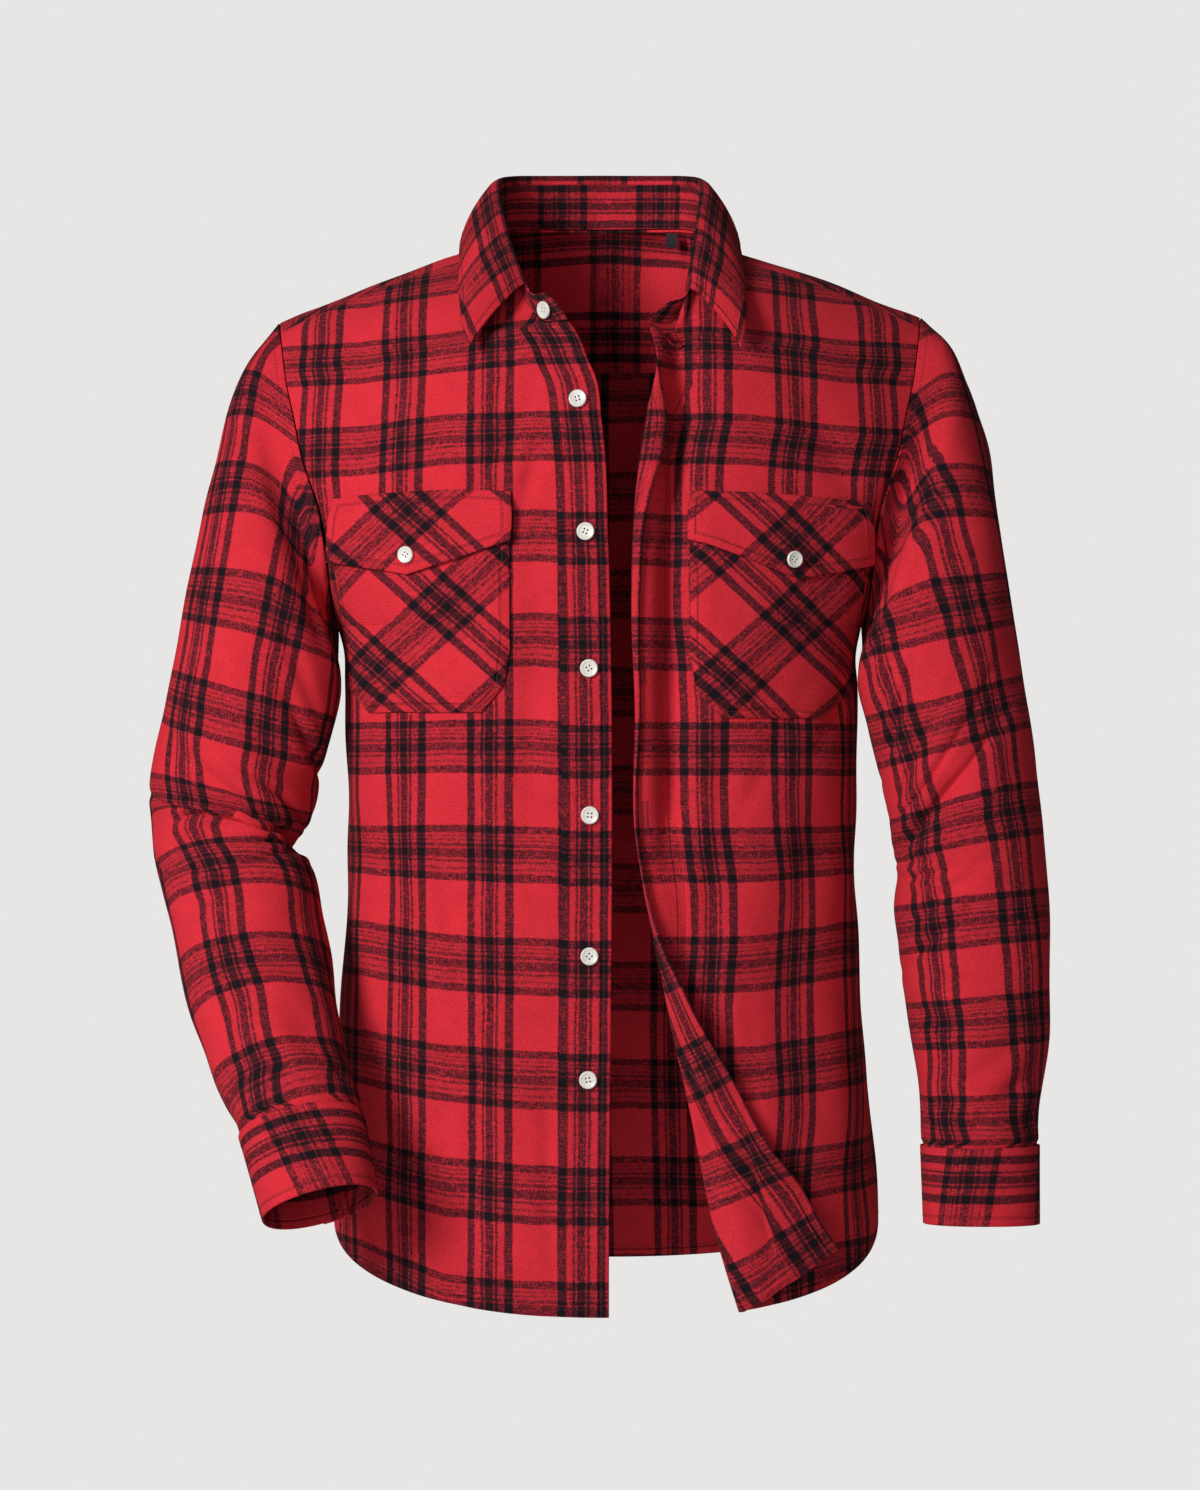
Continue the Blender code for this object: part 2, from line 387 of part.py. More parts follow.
class Front:
    """Surface of one front: rows from side seam or armhole to the front edge or its fold."""

    def __init__(self, side):
        self.side = side
        self.rows = np.linspace(0, 2, DENSE_ROWS)
        lines, lengths = [], []
        for row in self.rows:
            line, length = even(self.trimmed(row), DENSE_COLUMNS)
            lines.append(line)
            lengths.append(length)
        flat = np.array(lines)
        self.lengths = np.array(lengths)
        self.normals = normals_of(flat) * -side
        self.points = pressed(flat, self.normals, FRONT_FOLDS, side)
        self.normals = normals_of(self.points) * -side

    def trimmed(self, row):
        """One row, cut off at the front edge or the fold."""
        turn, way, across, deep, rise = read(ROWS, "row", row, "turn_front", "neck_way", "across",
                                             "deep", "rise")
        width = "right" if self.side == RIGHT else "left"
        if row <= 1:
            z = SIDE_FOOT + (ARMPIT - SIDE_FOOT) * row
            outer = np.array([self.side * float(smooth(z, TORSO["z"], TORSO[width])), 0.0, z])
        else:
            outer = armhole(self.side, turn)
        if row < NECK_ROW:
            z = float(np.interp(row, ROWS["row"], ROWS["front_z"]))
            if self.side == LEFT:
                z += LEFT_NECK["z"][0] * np.clip((row - 1.25) / 0.5, 0, 1)
            edge = RIGHT_EDGE if self.side == RIGHT else LEFT_REACH
            inner = np.array([float(smooth(z, edge["z"], edge["x"])),
                              -float(smooth(z, TORSO["z"], TORSO["front"])), z])
        else:
            inner = neck_line(self.side, float(np.interp(row, (NECK_ROW, 2.0), (0, FRONT_YOKE_WAY))))
        line = row_curve(outer, inner, across, deep, rise, height_power(row))
        if self.side == RIGHT or row >= NECK_ROW:
            return line
        fold_x = smooth(line[:, 2], LEFT_FOLD["z"], LEFT_FOLD["x"])
        past = line[:, 0] < fold_x
        if not past.any():
            return line
        k = int(np.argmax(past))
        before, after = line[k - 1, 0] - fold_x[k - 1], line[k, 0] - fold_x[k]
        cut = line[k - 1] + (line[k] - line[k - 1]) * before / (before - after)
        return np.vstack([line[:k], cut])

    def at(self, row, inset):
        """Point and normal at a row and a distance in from the front edge or fold."""
        row, inset = np.broadcast_arrays(np.asarray(row, float), np.asarray(inset, float))
        r = np.clip(row / 2, 0, 1) * (DENSE_ROWS - 1)
        length = np.interp(np.clip(row, 0, 2), self.rows, self.lengths)
        c = np.clip(1 - inset / length, 0, 1) * (DENSE_COLUMNS - 1)
        i = np.minimum(r.astype(int), DENSE_ROWS - 2)
        j = np.minimum(c.astype(int), DENSE_COLUMNS - 2)
        fr, fc = (r - i)[..., None], (c - j)[..., None]

        def mix(net):
            """Between the four nearest points of a net."""
            return ((net[i, j] * (1 - fc) + net[i, j + 1] * fc) * (1 - fr)
                    + (net[i + 1, j] * (1 - fc) + net[i + 1, j + 1] * fc) * fr)

        return mix(self.points), unit(mix(self.normals))

    def length_at(self, row):
        """Length of a row."""
        return np.interp(row, self.rows, self.lengths)

    def over(self, x, z, lift):
        """Points above this front at places x, z, lifted along the normal."""
        x, z = np.broadcast_arrays(np.asarray(x, float), np.asarray(z, float))
        found = np.empty(x.shape + (3,))
        for index in np.ndindex(x.shape):
            xs = self.points[:, :, 0] * self.side
            column = [np.interp(x[index] * self.side, xs[i, ::-1], np.arange(DENSE_COLUMNS)[::-1])
                      for i in range(DENSE_ROWS)]
            j = np.minimum(np.array(column).astype(int), DENSE_COLUMNS - 2)
            f = (np.array(column) - j)[:, None]
            i = np.arange(DENSE_ROWS)
            line = self.points[i, j] * (1 - f) + self.points[i, j + 1] * f
            face = self.normals[i, j] * (1 - f) + self.normals[i, j + 1] * f
            spot = [np.interp(z[index], line[:, 2], line[:, k]) for k in range(3)]
            turn = [np.interp(z[index], line[:, 2], face[:, k]) for k in range(3)]
            found[index] = np.array(spot) + unit(np.array(turn)) * lift
        return found

    def fold(self, row, column):
        """A size of the turned-back edge at a row."""
        spot, _ = self.at(row, 0.0)
        return smooth(spot[..., 2], LEFT_FOLD["z"], LEFT_FOLD[column])

    def turned(self, row, past):
        """Point of the left front's cloth a distance past the fold: round the roll, then beyond it."""
        row, past = np.broadcast_arrays(np.asarray(row, float), np.asarray(past, float))
        spot, normal = self.at(row, 0.0)
        below, above = np.maximum(row - 0.02, 0), np.minimum(row + 0.02, 2)
        climb = self.at(above, 0.0)[0] - self.at(below, 0.0)[0]
        along = unit(spot - self.at(row, 0.004)[0])
        up = unit(np.cross(normal, along))
        up = up * np.sign(up[..., 2:])
        lean = np.arctan2(-climb[..., 0], climb[..., 2])
        lean = (np.clip(lean, -0.1, 0.5) * np.clip((1.2 - row) / 0.4, 0, 1))[..., None]
        total = np.radians(self.fold(row, "turn"))
        round_end = total * FOLD_RADIUS
        angle = (np.minimum(past, round_end) / FOLD_RADIUS)[..., None]
        rolled = spot + FOLD_RADIUS * (along * np.sin(angle) + normal * (1 - np.cos(angle)))
        flat = np.maximum(past - round_end, 0)
        turn = total[..., None]
        fold_way = up * np.cos(lean) + along * np.sin(lean)
        off_fold = along * np.cos(lean) - up * np.sin(lean)
        away = fold_way * np.sin(lean) + (off_fold * np.cos(turn) + normal * np.sin(turn)) * np.cos(lean)
        standing = rolled + away * flat[..., None]
        per_row = climb[..., 2] / (above - below)
        there, inset = row, flat
        for _ in range(6):
            base, _ = self.at(there, inset)
            there = there + (spot[..., 2] + flat * np.sin(2 * lean[..., 0]) - base[..., 2]) / per_row
            inset = inset + spot[..., 0] + flat * np.cos(2 * lean[..., 0]) - base[..., 0]
        base, face = self.at(there, inset)
        laid = base + face * (2 * FOLD_RADIUS + FLAP_SPRING * flat)[..., None]
        down = np.clip((self.fold(row, "turn") - FLAP_DOWN[0]) / (FLAP_DOWN[1] - FLAP_DOWN[0]), 0, 1)
        down = (down * down * (3 - 2 * down) * (flat > 0))[..., None]
        return standing * (1 - down) + laid * down


def back_rows(rows, columns):
    """Net of the back: columns run from the right side seam round the back to the left one."""
    net = []
    for row in rows:
        turn, z_mid, across, deep = read(ROWS, "row", row, "turn_back", "back_z", "across", "deep")
        if row <= 1:
            z_mid = np.interp(row, (0, 1), (-0.768, ARMPIT))
        halves = []
        for side, width in ((RIGHT, "right"), (LEFT, "left")):
            if row <= 1:
                z = SIDE_FOOT + (ARMPIT - SIDE_FOOT) * row
                outer = np.array([side * float(smooth(z, TORSO["z"], TORSO[width])), 0.0, z])
            else:
                outer = armhole(side, turn)
            inner = np.array([0.0, float(smooth(z_mid, TORSO["z"], TORSO["back"])), z_mid])
            halves.append(row_curve(outer, inner, across, deep, 0.0, height_power(row)))
        line, _ = even(np.vstack([halves[0], halves[1][-2::-1]]), columns + 1)
        net.append(line)
    net = np.array(net)
    return pressed(net, -normals_of(net), BACK_FOLDS, 0)


# ---- walls -----------------------------------------------------------------------------------------
def pulled_back(net, closed=False, rows=(0.5, 0.5), columns=(0.5, 0.5)):
    """A net whose edges end short of the seam by shares of the seam gap."""
    net = net.copy()
    first = unit(net[1] - net[0]) * SEAM_GAP * rows[0]
    last = unit(net[-2] - net[-1]) * SEAM_GAP * rows[1]
    net[0] += first
    net[-1] += last
    if not closed:
        left = unit(net[:, 1] - net[:, 0]) * SEAM_GAP * columns[0]
        right = unit(net[:, -2] - net[:, -1]) * SEAM_GAP * columns[1]
        net[:, 0] += left
        net[:, -1] += right
    return net


def cloth_wall(name, net, closed=False, thick=CLOTH, kind="flannel", face=None):
    """A closed wall of cloth about a net of points, as one object."""
    if face is None:
        face = normals_of(net, closed)
    mesh = bmesh.new()
    outer = [[mesh.verts.new(p) for p in row] for row in net + face * thick / 2]
    inner = [[mesh.verts.new(p) for p in row] for row in net - face * thick / 2]
    rows, columns = net.shape[:2]
    spans = columns if closed else columns - 1
    for i in range(rows - 1):
        for j in range(spans):
            k = (j + 1) % columns
            mesh.faces.new((outer[i][j], outer[i][k], outer[i + 1][k], outer[i + 1][j]))
            mesh.faces.new((inner[i + 1][j], inner[i + 1][k], inner[i][k], inner[i][j]))
    for j in range(spans):
        k = (j + 1) % columns
        mesh.faces.new((inner[0][j], inner[0][k], outer[0][k], outer[0][j]))
        mesh.faces.new((outer[-1][j], outer[-1][k], inner[-1][k], inner[-1][j]))
    if not closed:
        for i in range(rows - 1):
            mesh.faces.new((outer[i][0], outer[i + 1][0], inner[i + 1][0], inner[i][0]))
            mesh.faces.new((inner[i][-1], inner[i + 1][-1], outer[i + 1][-1], outer[i][-1]))
    finish(name, mesh, kind)


def finish(name, mesh, kind):
    """The mesh as a named object with its own material, in the shirt's collection."""
    bmesh.ops.triangulate(mesh, faces=mesh.faces[:])
    bmesh.ops.recalc_face_normals(mesh, faces=mesh.faces[:])
    data = bpy.data.meshes.new(name)
    mesh.to_mesh(data)
    mesh.free()
    data.shade_smooth()
    data.set_sharp_from_angle(angle=math.radians(CREASE_ANGLE))
    material = bpy.data.materials.new(name)
    material.use_nodes = True
    shader = material.node_tree.nodes["Principled BSDF"]
    shader.inputs["Base Color"].default_value = COLOURS[kind]
    shader.inputs["Roughness"].default_value, shader.inputs["Metallic"].default_value = FINISH[kind]
    data.materials.append(material)
    SHIRT.objects.link(bpy.data.objects.new(name, data))


# ---- pieces ----------------------------------------------------------------------------------------
def seam_inset(front, row):
    """Distance from the cloth's edge or the neckline to the placket's seam, at rows of a front."""
    row = np.asarray(row, float)
    width = PLACKET_WIDTH
    if front.side == LEFT:
        width = front.fold(np.minimum(row, NECK_ROW), "strip")
    return width * np.clip((SEAM_TOP_ROW - row) / (SEAM_TOP_ROW - NECK_ROW), 0, 1)


def cloth_columns(low, high, count, width, scale=1.0):
    """Distances from the cloth's edge, closer together where the cloth rolls over its fold."""
    bend = math.pi * FOLD_RADIUS / scale
    fine = np.linspace(0, 1, 400)
    places = low + (high - low) * fine
    turning = np.clip((places - width + bend) / bend, 0, 1)
    weight = (places - low) / (high - low) * (count - ROLL_COLUMNS) + ROLL_COLUMNS * turning
    weight -= weight[0]
    return np.interp(np.linspace(0, weight[-1], count + 1), weight, places)


def left_cloth(front, row, places):
    """Points of the left front at distances from its cloth's own edge, turned back past the fold."""
    row, places = np.broadcast_arrays(row, places)
    past = front.fold(row, "width") - places
    laid, _ = front.at(row, np.maximum(-past, 0))
    return np.where((past > 0)[..., None], front.turned(row, np.maximum(past, 0)), laid)


def front_rows():
    """Rows of a front from hem to yoke seam."""
    return np.concatenate([np.linspace(0, 1, FRONT_ROWS * 2 // 3 + 1)[:-1],
                           [1.0, 1.12, 1.25, 1.375, 1.5, 1.54, 1.575, 1.61, 1.645, 1.68, 1.715, NECK_ROW,
                            SEAM_TOP_ROW, 1.9, 2.0]])


def panel_net(front):
    """Net of a front beside its placket, hem to yoke seam; the left one's lower edge is turned back."""
    lines = []
    for row in front_rows():
        length = float(front.length_at(row))
        inset = float(seam_inset(front, row))
        if front.side == RIGHT or row > NECK_ROW:
            places = inset + (length - inset) * np.linspace(0, 1, FRONT_COLUMNS + 2)
            lines.append(front.at(row, places)[0])
        else:
            width = float(front.fold(row, "width"))
            places = cloth_columns(inset, length + width, FRONT_COLUMNS + 1, width)
            lines.append(left_cloth(front, row, places))
    return np.array(lines)


def placket_net(front):
    """Net of the placket that edges a front, from hem to collar stand."""
    lines = []
    for row in front_rows()[:-2]:
        share = np.linspace(0, 1, 4)
        if front.side == LEFT:
            share = cloth_columns(0, 1, 6, float(front.fold(row, "width") / front.fold(row, "strip")),
                                  float(front.fold(row, "strip")))
        top = NECK_ROW + (SEAM_TOP_ROW - NECK_ROW) * share
        bent = 1.5 + (row - 1.5) * (top - 1.5) / (SEAM_TOP_ROW - 1.5)
        at_row = np.where(row > 1.5, bent, row)
        low_row = np.minimum(at_row, NECK_ROW)
        whole = seam_inset(front, low_row)
        places = np.maximum(share * whole - (whole - seam_inset(front, at_row)), 0)
        if front.side == RIGHT:
            lines.append(front.at(at_row, places)[0])
        else:
            cloth = left_cloth(front, low_row, places)
            lines.append(np.where((at_row > NECK_ROW)[:, None], front.at(at_row, places)[0], cloth))
    return np.array(lines)


def front_pieces(front, panel_name, placket_name):
    """A front panel and its placket, mitred where they meet."""
    panel, placket = panel_net(front), placket_net(front)
    if front.side == RIGHT:
        panel_face, placket_face = -normals_of(panel), -normals_of(placket)
    else:
        panel_face, placket_face = normals_of(panel), normals_of(placket)
    seam = unit(panel_face[:-2, 0] + placket_face[:, -1])
    for face in (panel_face[:-2, 0], placket_face[:, -1]):
        lean = np.maximum(np.sum(face * seam, axis=-1, keepdims=True), 0.7)
        face[:] = seam / lean
    panel = pulled_back(panel, rows=(0, 0.5))
    placket = pulled_back(placket, rows=(0, 3), columns=(0, 0.5))
    thick = PLACKET_THICK if front.side == RIGHT else CLOTH
    cloth_wall(panel_name, panel, face=panel_face)
    cloth_wall(placket_name, placket, thick=thick, face=placket_face)


def back_panel():
    """The back, from side seam to side seam, up to the yoke."""
    rows = np.concatenate([np.linspace(0, 1, BACK_ROWS * 2 // 3 + 1)[:-1],
                           np.linspace(1, 2, BACK_ROWS // 3 + 1)])
    net = pulled_back(back_rows(rows, BACK_COLUMNS), rows=(0, 0.5))
    cloth_wall("back", net[:, ::-1])


def yoke(fronts):
    """The yoke over both shoulders: one strip of columns from armhole to armhole."""
    shoulder = np.linspace(1, 0, 8)
    neck_ways = np.linspace(FRONT_YOKE_WAY, 1, 6)[1:]
    down = np.linspace(0, 1, 7)
    halves = []
    for front in fronts:
        side = front.side
        seam, _ = front.at(np.full(8, 2.0), shoulder * front.length_at(2.0))
        top = np.vstack([seam, neck_line(side, neck_ways)])
        foot_line = back_rows([1.98, 2.0], 240)[1]
        foot_line = foot_line[:121] if side == RIGHT else foot_line[120:][::-1]
        wanted = np.concatenate([np.abs(seam[:, 0]), abs(seam[-1, 0]) * np.linspace(0.8, 0, 5)])
        reach = np.abs(foot_line[:, 0])
        foot = np.stack([np.interp(wanted, reach[::-1], foot_line[::-1, k]) for k in range(3)], axis=-1)
        foot[0] = armhole(side, BACK_YOKE_TURN)
        columns = []
        for j in range(len(top)):
            on_neck = max(j - 7, 0) / 5
            span = foot[j] - top[j]
            out_start = np.array([0, 0.95, 0.62 * (1 - on_neck) - 0.25 * on_neck])
            out_end = np.array([0, 0.10 + 0.1 * (1 - on_neck), 1.0])
            size = np.linalg.norm(span) * 0.42
            p0, p3 = top[j], foot[j]
            p1, p2 = p0 + out_start * size, p3 + out_end * size * (0.75 - 0.25 * on_neck)
            t = down[:, None]
            columns.append(p0 * (1 - t) ** 3 + 3 * p1 * t * (1 - t) ** 2
                           + 3 * p2 * t * t * (1 - t) + p3 * t ** 3)
        turns = np.interp(down, (0, 1), (360 + FRONT_YOKE_TURN, BACK_YOKE_TURN))
        drift = armhole(side, turns) - columns[0]
        for j, column in enumerate(columns):
            column += drift * max(1 - j / 5, 0) ** 2
        halves.append(np.array(columns))
    net = np.vstack([halves[0], halves[1][-2::-1]])
    net = pulled_back(net.transpose(1, 0, 2), rows=(1.6, 0.5))
    cloth_wall("yoke", net)


def sleeve_points(side, rings, segments, proud=0.0, turn_span=360.0, start=0.0, spiral=0.0):
    """Net of a sleeve or cuff: rings by number, turning from the outer side over the front."""
    rows = RIGHT_SLEEVE if side == RIGHT else LEFT_SLEEVE
    closed = turn_span == 360.0 and spiral == 0.0
    turns = start + np.linspace(0, turn_span, segments, endpoint=not closed)
    phi = np.radians(turns)
    extra = proud + spiral * np.clip((turns - start - 360 + CUFF_OVERLAP) / CUFF_OVERLAP, 0, 1)
    net = []
    for ring in rings:
        at = max(ring, 1.0)
        power = 2 / np.interp(ring, (1, 6), (CAP_ROUND, SLEEVE_ROUND))
        cos = np.sign(np.cos(phi)) * np.abs(np.cos(phi)) ** power
        sin = np.sign(np.sin(phi)) * np.abs(np.sin(phi)) ** power
        outer = read(rows, "ring", at, "out_x", "y", "out_z") * (side, 1, 1)
        inner = read(rows, "ring", at, "in_x", "y", "in_z") * (side, 1, 1)
        ends = [read(rows, "ring", np.clip(at + d, 1, 19), "out_x", "y", "out_z") * (side, 1, 1)
                + read(rows, "ring", np.clip(at + d, 1, 19), "in_x", "y", "in_z") * (side, 1, 1)
                for d in (-0.5, 0.5)]
        long_way = unit(ends[1] - ends[0])
        half = (outer - inner) / 2
        front_way = unit(np.cross(long_way, half))
        if front_way[1] > 0:
            front_way = -front_way
        lean = np.clip((ring - 1) / 6, 0, 1)
        front_way = unit(front_way * lean + np.array([0, -1.0, 0]) * (1 - lean))
        deep = float(smooth(at, rows["ring"], rows["deep"]))
        size = np.linalg.norm(half)
        loop = ((outer + inner) / 2 + unit(half) * ((size + extra) * cos)[:, None]
                + front_way * ((deep + extra) * sin)[:, None])
        if ring < 1:
            seam = armhole(side, turns)
            low = (1 - np.cos(phi)) / 2
            seam[:, 0] += side * (ARMHOLE_EASE[0] + ARMHOLE_EASE[1] * low ** 2)
            loop = seam * (1 - ring) + loop * ring
        net.append(loop)
    net = np.array(net)
    if spiral == 0.0 and proud == 0.0:
        face = normals_of(net, closed) * side
        middle = net.mean(axis=1, keepdims=True)
        if np.sum(face * (net - middle)) < 0:
            face = -face
        depth = np.zeros(net.shape[:2])
        ring_grid = np.array(rings)[:, None]
        for k in range(len(SLEEVE_FOLDS["ring"])):
            if SLEEVE_FOLDS["side"][k] != side:
                continue
            away = (turns[None, :] - SLEEVE_FOLDS["turn"][k] + 180) % 360 - 180
            along = ring_grid - SLEEVE_FOLDS["ring"][k] - SLEEVE_FOLDS["slant"][k] * away
            depth += SLEEVE_FOLDS["depth"][k] * np.exp(-(along / SLEEVE_FOLDS["long"][k]) ** 2
                                                       - (away / SLEEVE_FOLDS["round"][k]) ** 2)
        ends = np.clip(np.minimum(ring_grid - 0.5, SLEEVE_END - ring_grid), 0, 1)
        net = net - face * (depth * ends)[..., None]
    return net


def sleeve(name, side):
    """A sleeve from armhole to cuff."""
    rings = np.concatenate([[0, 0.45], np.linspace(1, SLEEVE_END, SLEEVE_RINGS - 1)])
    net = sleeve_points(side, rings, SLEEVE_SEGMENTS)
    net = pulled_back(net, closed=True)
    cloth_wall(name, net if side == RIGHT else net[:, ::-1], closed=True)


def cuff(name, side):
    """A cuff: a band whose end lies over its start at the outer back."""
    net = sleeve_points(side, (SLEEVE_END + 0.03, (SLEEVE_END + CUFF_END) / 2, CUFF_END), CUFF_COLUMNS,
                        proud=CUFF_PROUD, turn_span=360.0 + CUFF_OVERLAP, start=CUFF_START, spiral=CUFF_LAP)
    net = pulled_back(net, rows=(0.5, 0), columns=(0, 0))
    cloth_wall(name, net if side == RIGHT else net[:, ::-1])
    end = net[1, -2] * 0.9 + net[1, -3] * 0.1
    out = normals_of(net)[1, -2] * (1 if side == RIGHT else -1)
    if np.dot(out, end - net[1].mean(axis=0)) < 0:
        out = -out
    button(name.replace("cuff", "cuff_button"), end + out * (CLOTH / 2 + SEAM_GAP), out, CUFF_BUTTON_RADIUS)


def collar_net(sides_ways, rows_of):
    """Net of a collar piece: columns from the right front end round the back to the left one."""
    return np.array([rows_of(side, way) for side, way in sides_ways]).transpose(1, 0, 2)


def collar_ways(*ends):
    """Places along the neckline, from the right front end round to the left one."""
    ways = np.array(ends + (LEAF_START, 0.16, 0.22, 0.29, 0.38, 0.48, 0.58, 0.67, 0.76, 0.84, 0.92, 1.0))
    return [(RIGHT, way) for way in ways] + [(LEFT, way) for way in ways[-2::-1]]


def collar_stand():
    """The band that stands up from the neckline."""
    def rows_of(side, way):
        neck, fold = neck_line(side, way), neck_line(side, way, "fold_")
        up = unit(fold - neck)
        top = neck + (fold - neck) * STAND_SHARE
        low = neck + up * STAND_LIFT
        forward = unit(neck - neck_line(side, way + 0.05)) * max(1 - way / 0.05, 0)
        return np.array([low + (top - low) * t + forward * bulge for t, bulge in STAND_END])

    net = pulled_back(collar_net(collar_ways(0.0, 0.05), rows_of), rows=(0, 0.5), columns=(0, 0))
    face = normals_of(net)
    cloth_wall("collar_stand", net, face=face)
    return net, face


def collar_leaf(stand_face):
    """The leaf: up from the stand's seam, over the fold and down to its points."""
    def rows_of(side, way):
        neck, fold = neck_line(side, way), neck_line(side, way, "fold_")
        edge = neck_line(side, way, "edge_")
        low = neck + (fold - neck) * STAND_SHARE
        out = unit((edge - fold) * (1, 1, 0))
        peak = fold + out * COLLAR_ROLL * 0.45 + np.array([0, 0, 0.0008])
        turned = fold + out * COLLAR_ROLL * 1.15 + (edge - fold) * 0.07
        down = [turned + (edge - turned) * t + out * LEAF_BELLY * 4 * t * (1 - t) for t in (0.34, 0.67, 1.0)]
        return np.array([low, low + (fold - low) * 0.75, peak, turned] + down)

    net = pulled_back(collar_net(collar_ways(), rows_of), rows=(0.5, 0), columns=(0, 0))
    face = normals_of(net)
    face[0] = stand_face[-1, 2:-2]
    cloth_wall("collar_leaf", net, face=face)


def pocket(side, front):
    """A chest pocket and its pointed flap with a button, laid on a front."""
    name = "right" if side == RIGHT else "left"
    shape = POCKET[side]
    z_rows = np.array([-0.2020, -0.2180, -0.2340, -0.2500, -0.2680, -0.2860, -0.3050, -0.3180, -0.3295,
                       -0.3400, float(shape["z"][0])])
    share = np.linspace(0, 1, 11)
    outer = np.interp(z_rows, shape["z"], shape["outer"])
    inner = np.interp(z_rows, shape["z"], shape["inner"])
    x = side * (inner[:, None] + (outer - inner)[:, None] * share[None, :])
    z = np.repeat(z_rows[:, None], len(share), axis=1)
    net = front.over(x, z, LAYER + POCKET_PUFF)
    cloth_wall("pocket_" + name, net if side == RIGHT else net[:, ::-1])

    shape = POCKET_FLAP[side]
    x_columns = np.array([0.0, 0.16, 0.33, 0.47, 0.56, 0.70, 0.85, 1.0])
    x_columns = shape["x"][0] + (shape["x"][-1] - shape["x"][0]) * x_columns
    x_columns[4] = shape["x"][2]
    top = np.interp(x_columns, shape["x"], shape["top"])
    foot = np.interp(x_columns, shape["x"], shape["foot"])
    down = np.linspace(0, 1, 5)
    z = top[None, :] + (foot - top)[None, :] * down[:, None]
    x = np.repeat(side * x_columns[None, :], len(down), axis=0)
    lift = (LAYER + POCKET_PUFF) * 2
    net = front.over(x, z, lift)
    cloth_wall("pocket_flap_" + name, net if side == RIGHT else net[:, ::-1])

    tip = float(shape["foot"][2]) + FLAP_BUTTON_ABOVE_TIP
    spot = front.over(side * FLAP_BUTTON_X, tip, lift + CLOTH / 2 + SEAM_GAP)
    further = front.over(side * FLAP_BUTTON_X, tip, lift + CLOTH / 2 + SEAM_GAP + 0.01)
    button("pocket_button_" + name, spot, unit(further - spot), FLAP_BUTTON_RADIUS)


def button(name, spot, out, radius):
    """A round button lying with its underside at a spot, facing out."""
    profile = [(radius * across, BUTTON_THICK * up) for across, up in BUTTON_PROFILE]
    out = unit(np.array(out, float))
    side_way = unit(np.cross(out, (0, 0, 1)))
    mesh = bmesh.new()
    verts = [mesh.verts.new(spot + side_way * r + out * h) for r, h in profile]
    edges = [mesh.edges.new(pair) for pair in zip(verts[:-1], verts[1:])]
    bmesh.ops.spin(mesh, geom=verts + edges, cent=spot, axis=out, angle=2 * math.pi, steps=BUTTON_STEPS,
                   use_merge=True)
    bmesh.ops.remove_doubles(mesh, verts=mesh.verts[:], dist=1e-6)
    finish(name, mesh, "button")


def front_buttons(front, stand):
    """Six buttons down the right placket and one on the collar stand's end."""
    for number, height in enumerate(BUTTON_HEIGHTS, 2):
        row = float(np.interp(height, front.at(front.rows, BUTTON_INSET)[0][:, 2], front.rows))
        spot, face = front.at(row, BUTTON_INSET)
        button("button_%d" % number, spot + face * (PLACKET_THICK / 2 + SEAM_GAP), face, BUTTON_RADIUS)
    face = normals_of(stand)[1, 1]
    spot = stand[1, 1]
    if face[1] > 0:
        face = -face
    button("button_1", spot + face * (CLOTH / 2 + 2 * SEAM_GAP), face, BUTTON_RADIUS)


def neck_label():
    """A small bare label inside the yoke, under the neckline."""
    width, height = LABEL_SIZE
    middle = neck_line(LEFT, LABEL_WAY)
    way = unit(neck_line(LEFT, LABEL_WAY - 0.02) - neck_line(LEFT, LABEL_WAY + 0.02))
    down = np.array([0.0, 0.22, -1.0])
    inward = unit(-middle * (1, 1, 0))
    top = middle + inward * 0.0034 - np.array([0, 0, 0.0022])
    net = np.array([[top + way * width * a + unit(down) * height * b for a in (-0.5, 0.5)]
                    for b in (0, 1)])
    cloth_wall("neck_label", net, thick=LABEL_THICK, kind="label")


for old in list(bpy.data.objects):
    bpy.data.objects.remove(old)
SHIRT = bpy.data.collections.new("flannel_shirt")
bpy.context.scene.collection.children.link(SHIRT)

right_front, left_front = Front(RIGHT), Front(LEFT)
front_pieces(right_front, "front_right", "button_placket")
front_pieces(left_front, "front_left", "buttonhole_placket")
back_panel()
yoke((right_front, left_front))
stand_net, stand_normals = collar_stand()
collar_leaf(stand_normals)
for sleeve_side, hand in ((RIGHT, "right"), (LEFT, "left")):
    sleeve("sleeve_" + hand, sleeve_side)
    cuff("cuff_" + hand, sleeve_side)
pocket(RIGHT, right_front)
pocket(LEFT, left_front)
front_buttons(right_front, stand_net)
neck_label()
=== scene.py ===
from functools import lru_cache, partial
import math

import bmesh
import bpy
import numpy as np
from bpy.props import FloatProperty, FloatVectorProperty, PointerProperty
from mathutils import Matrix, Vector


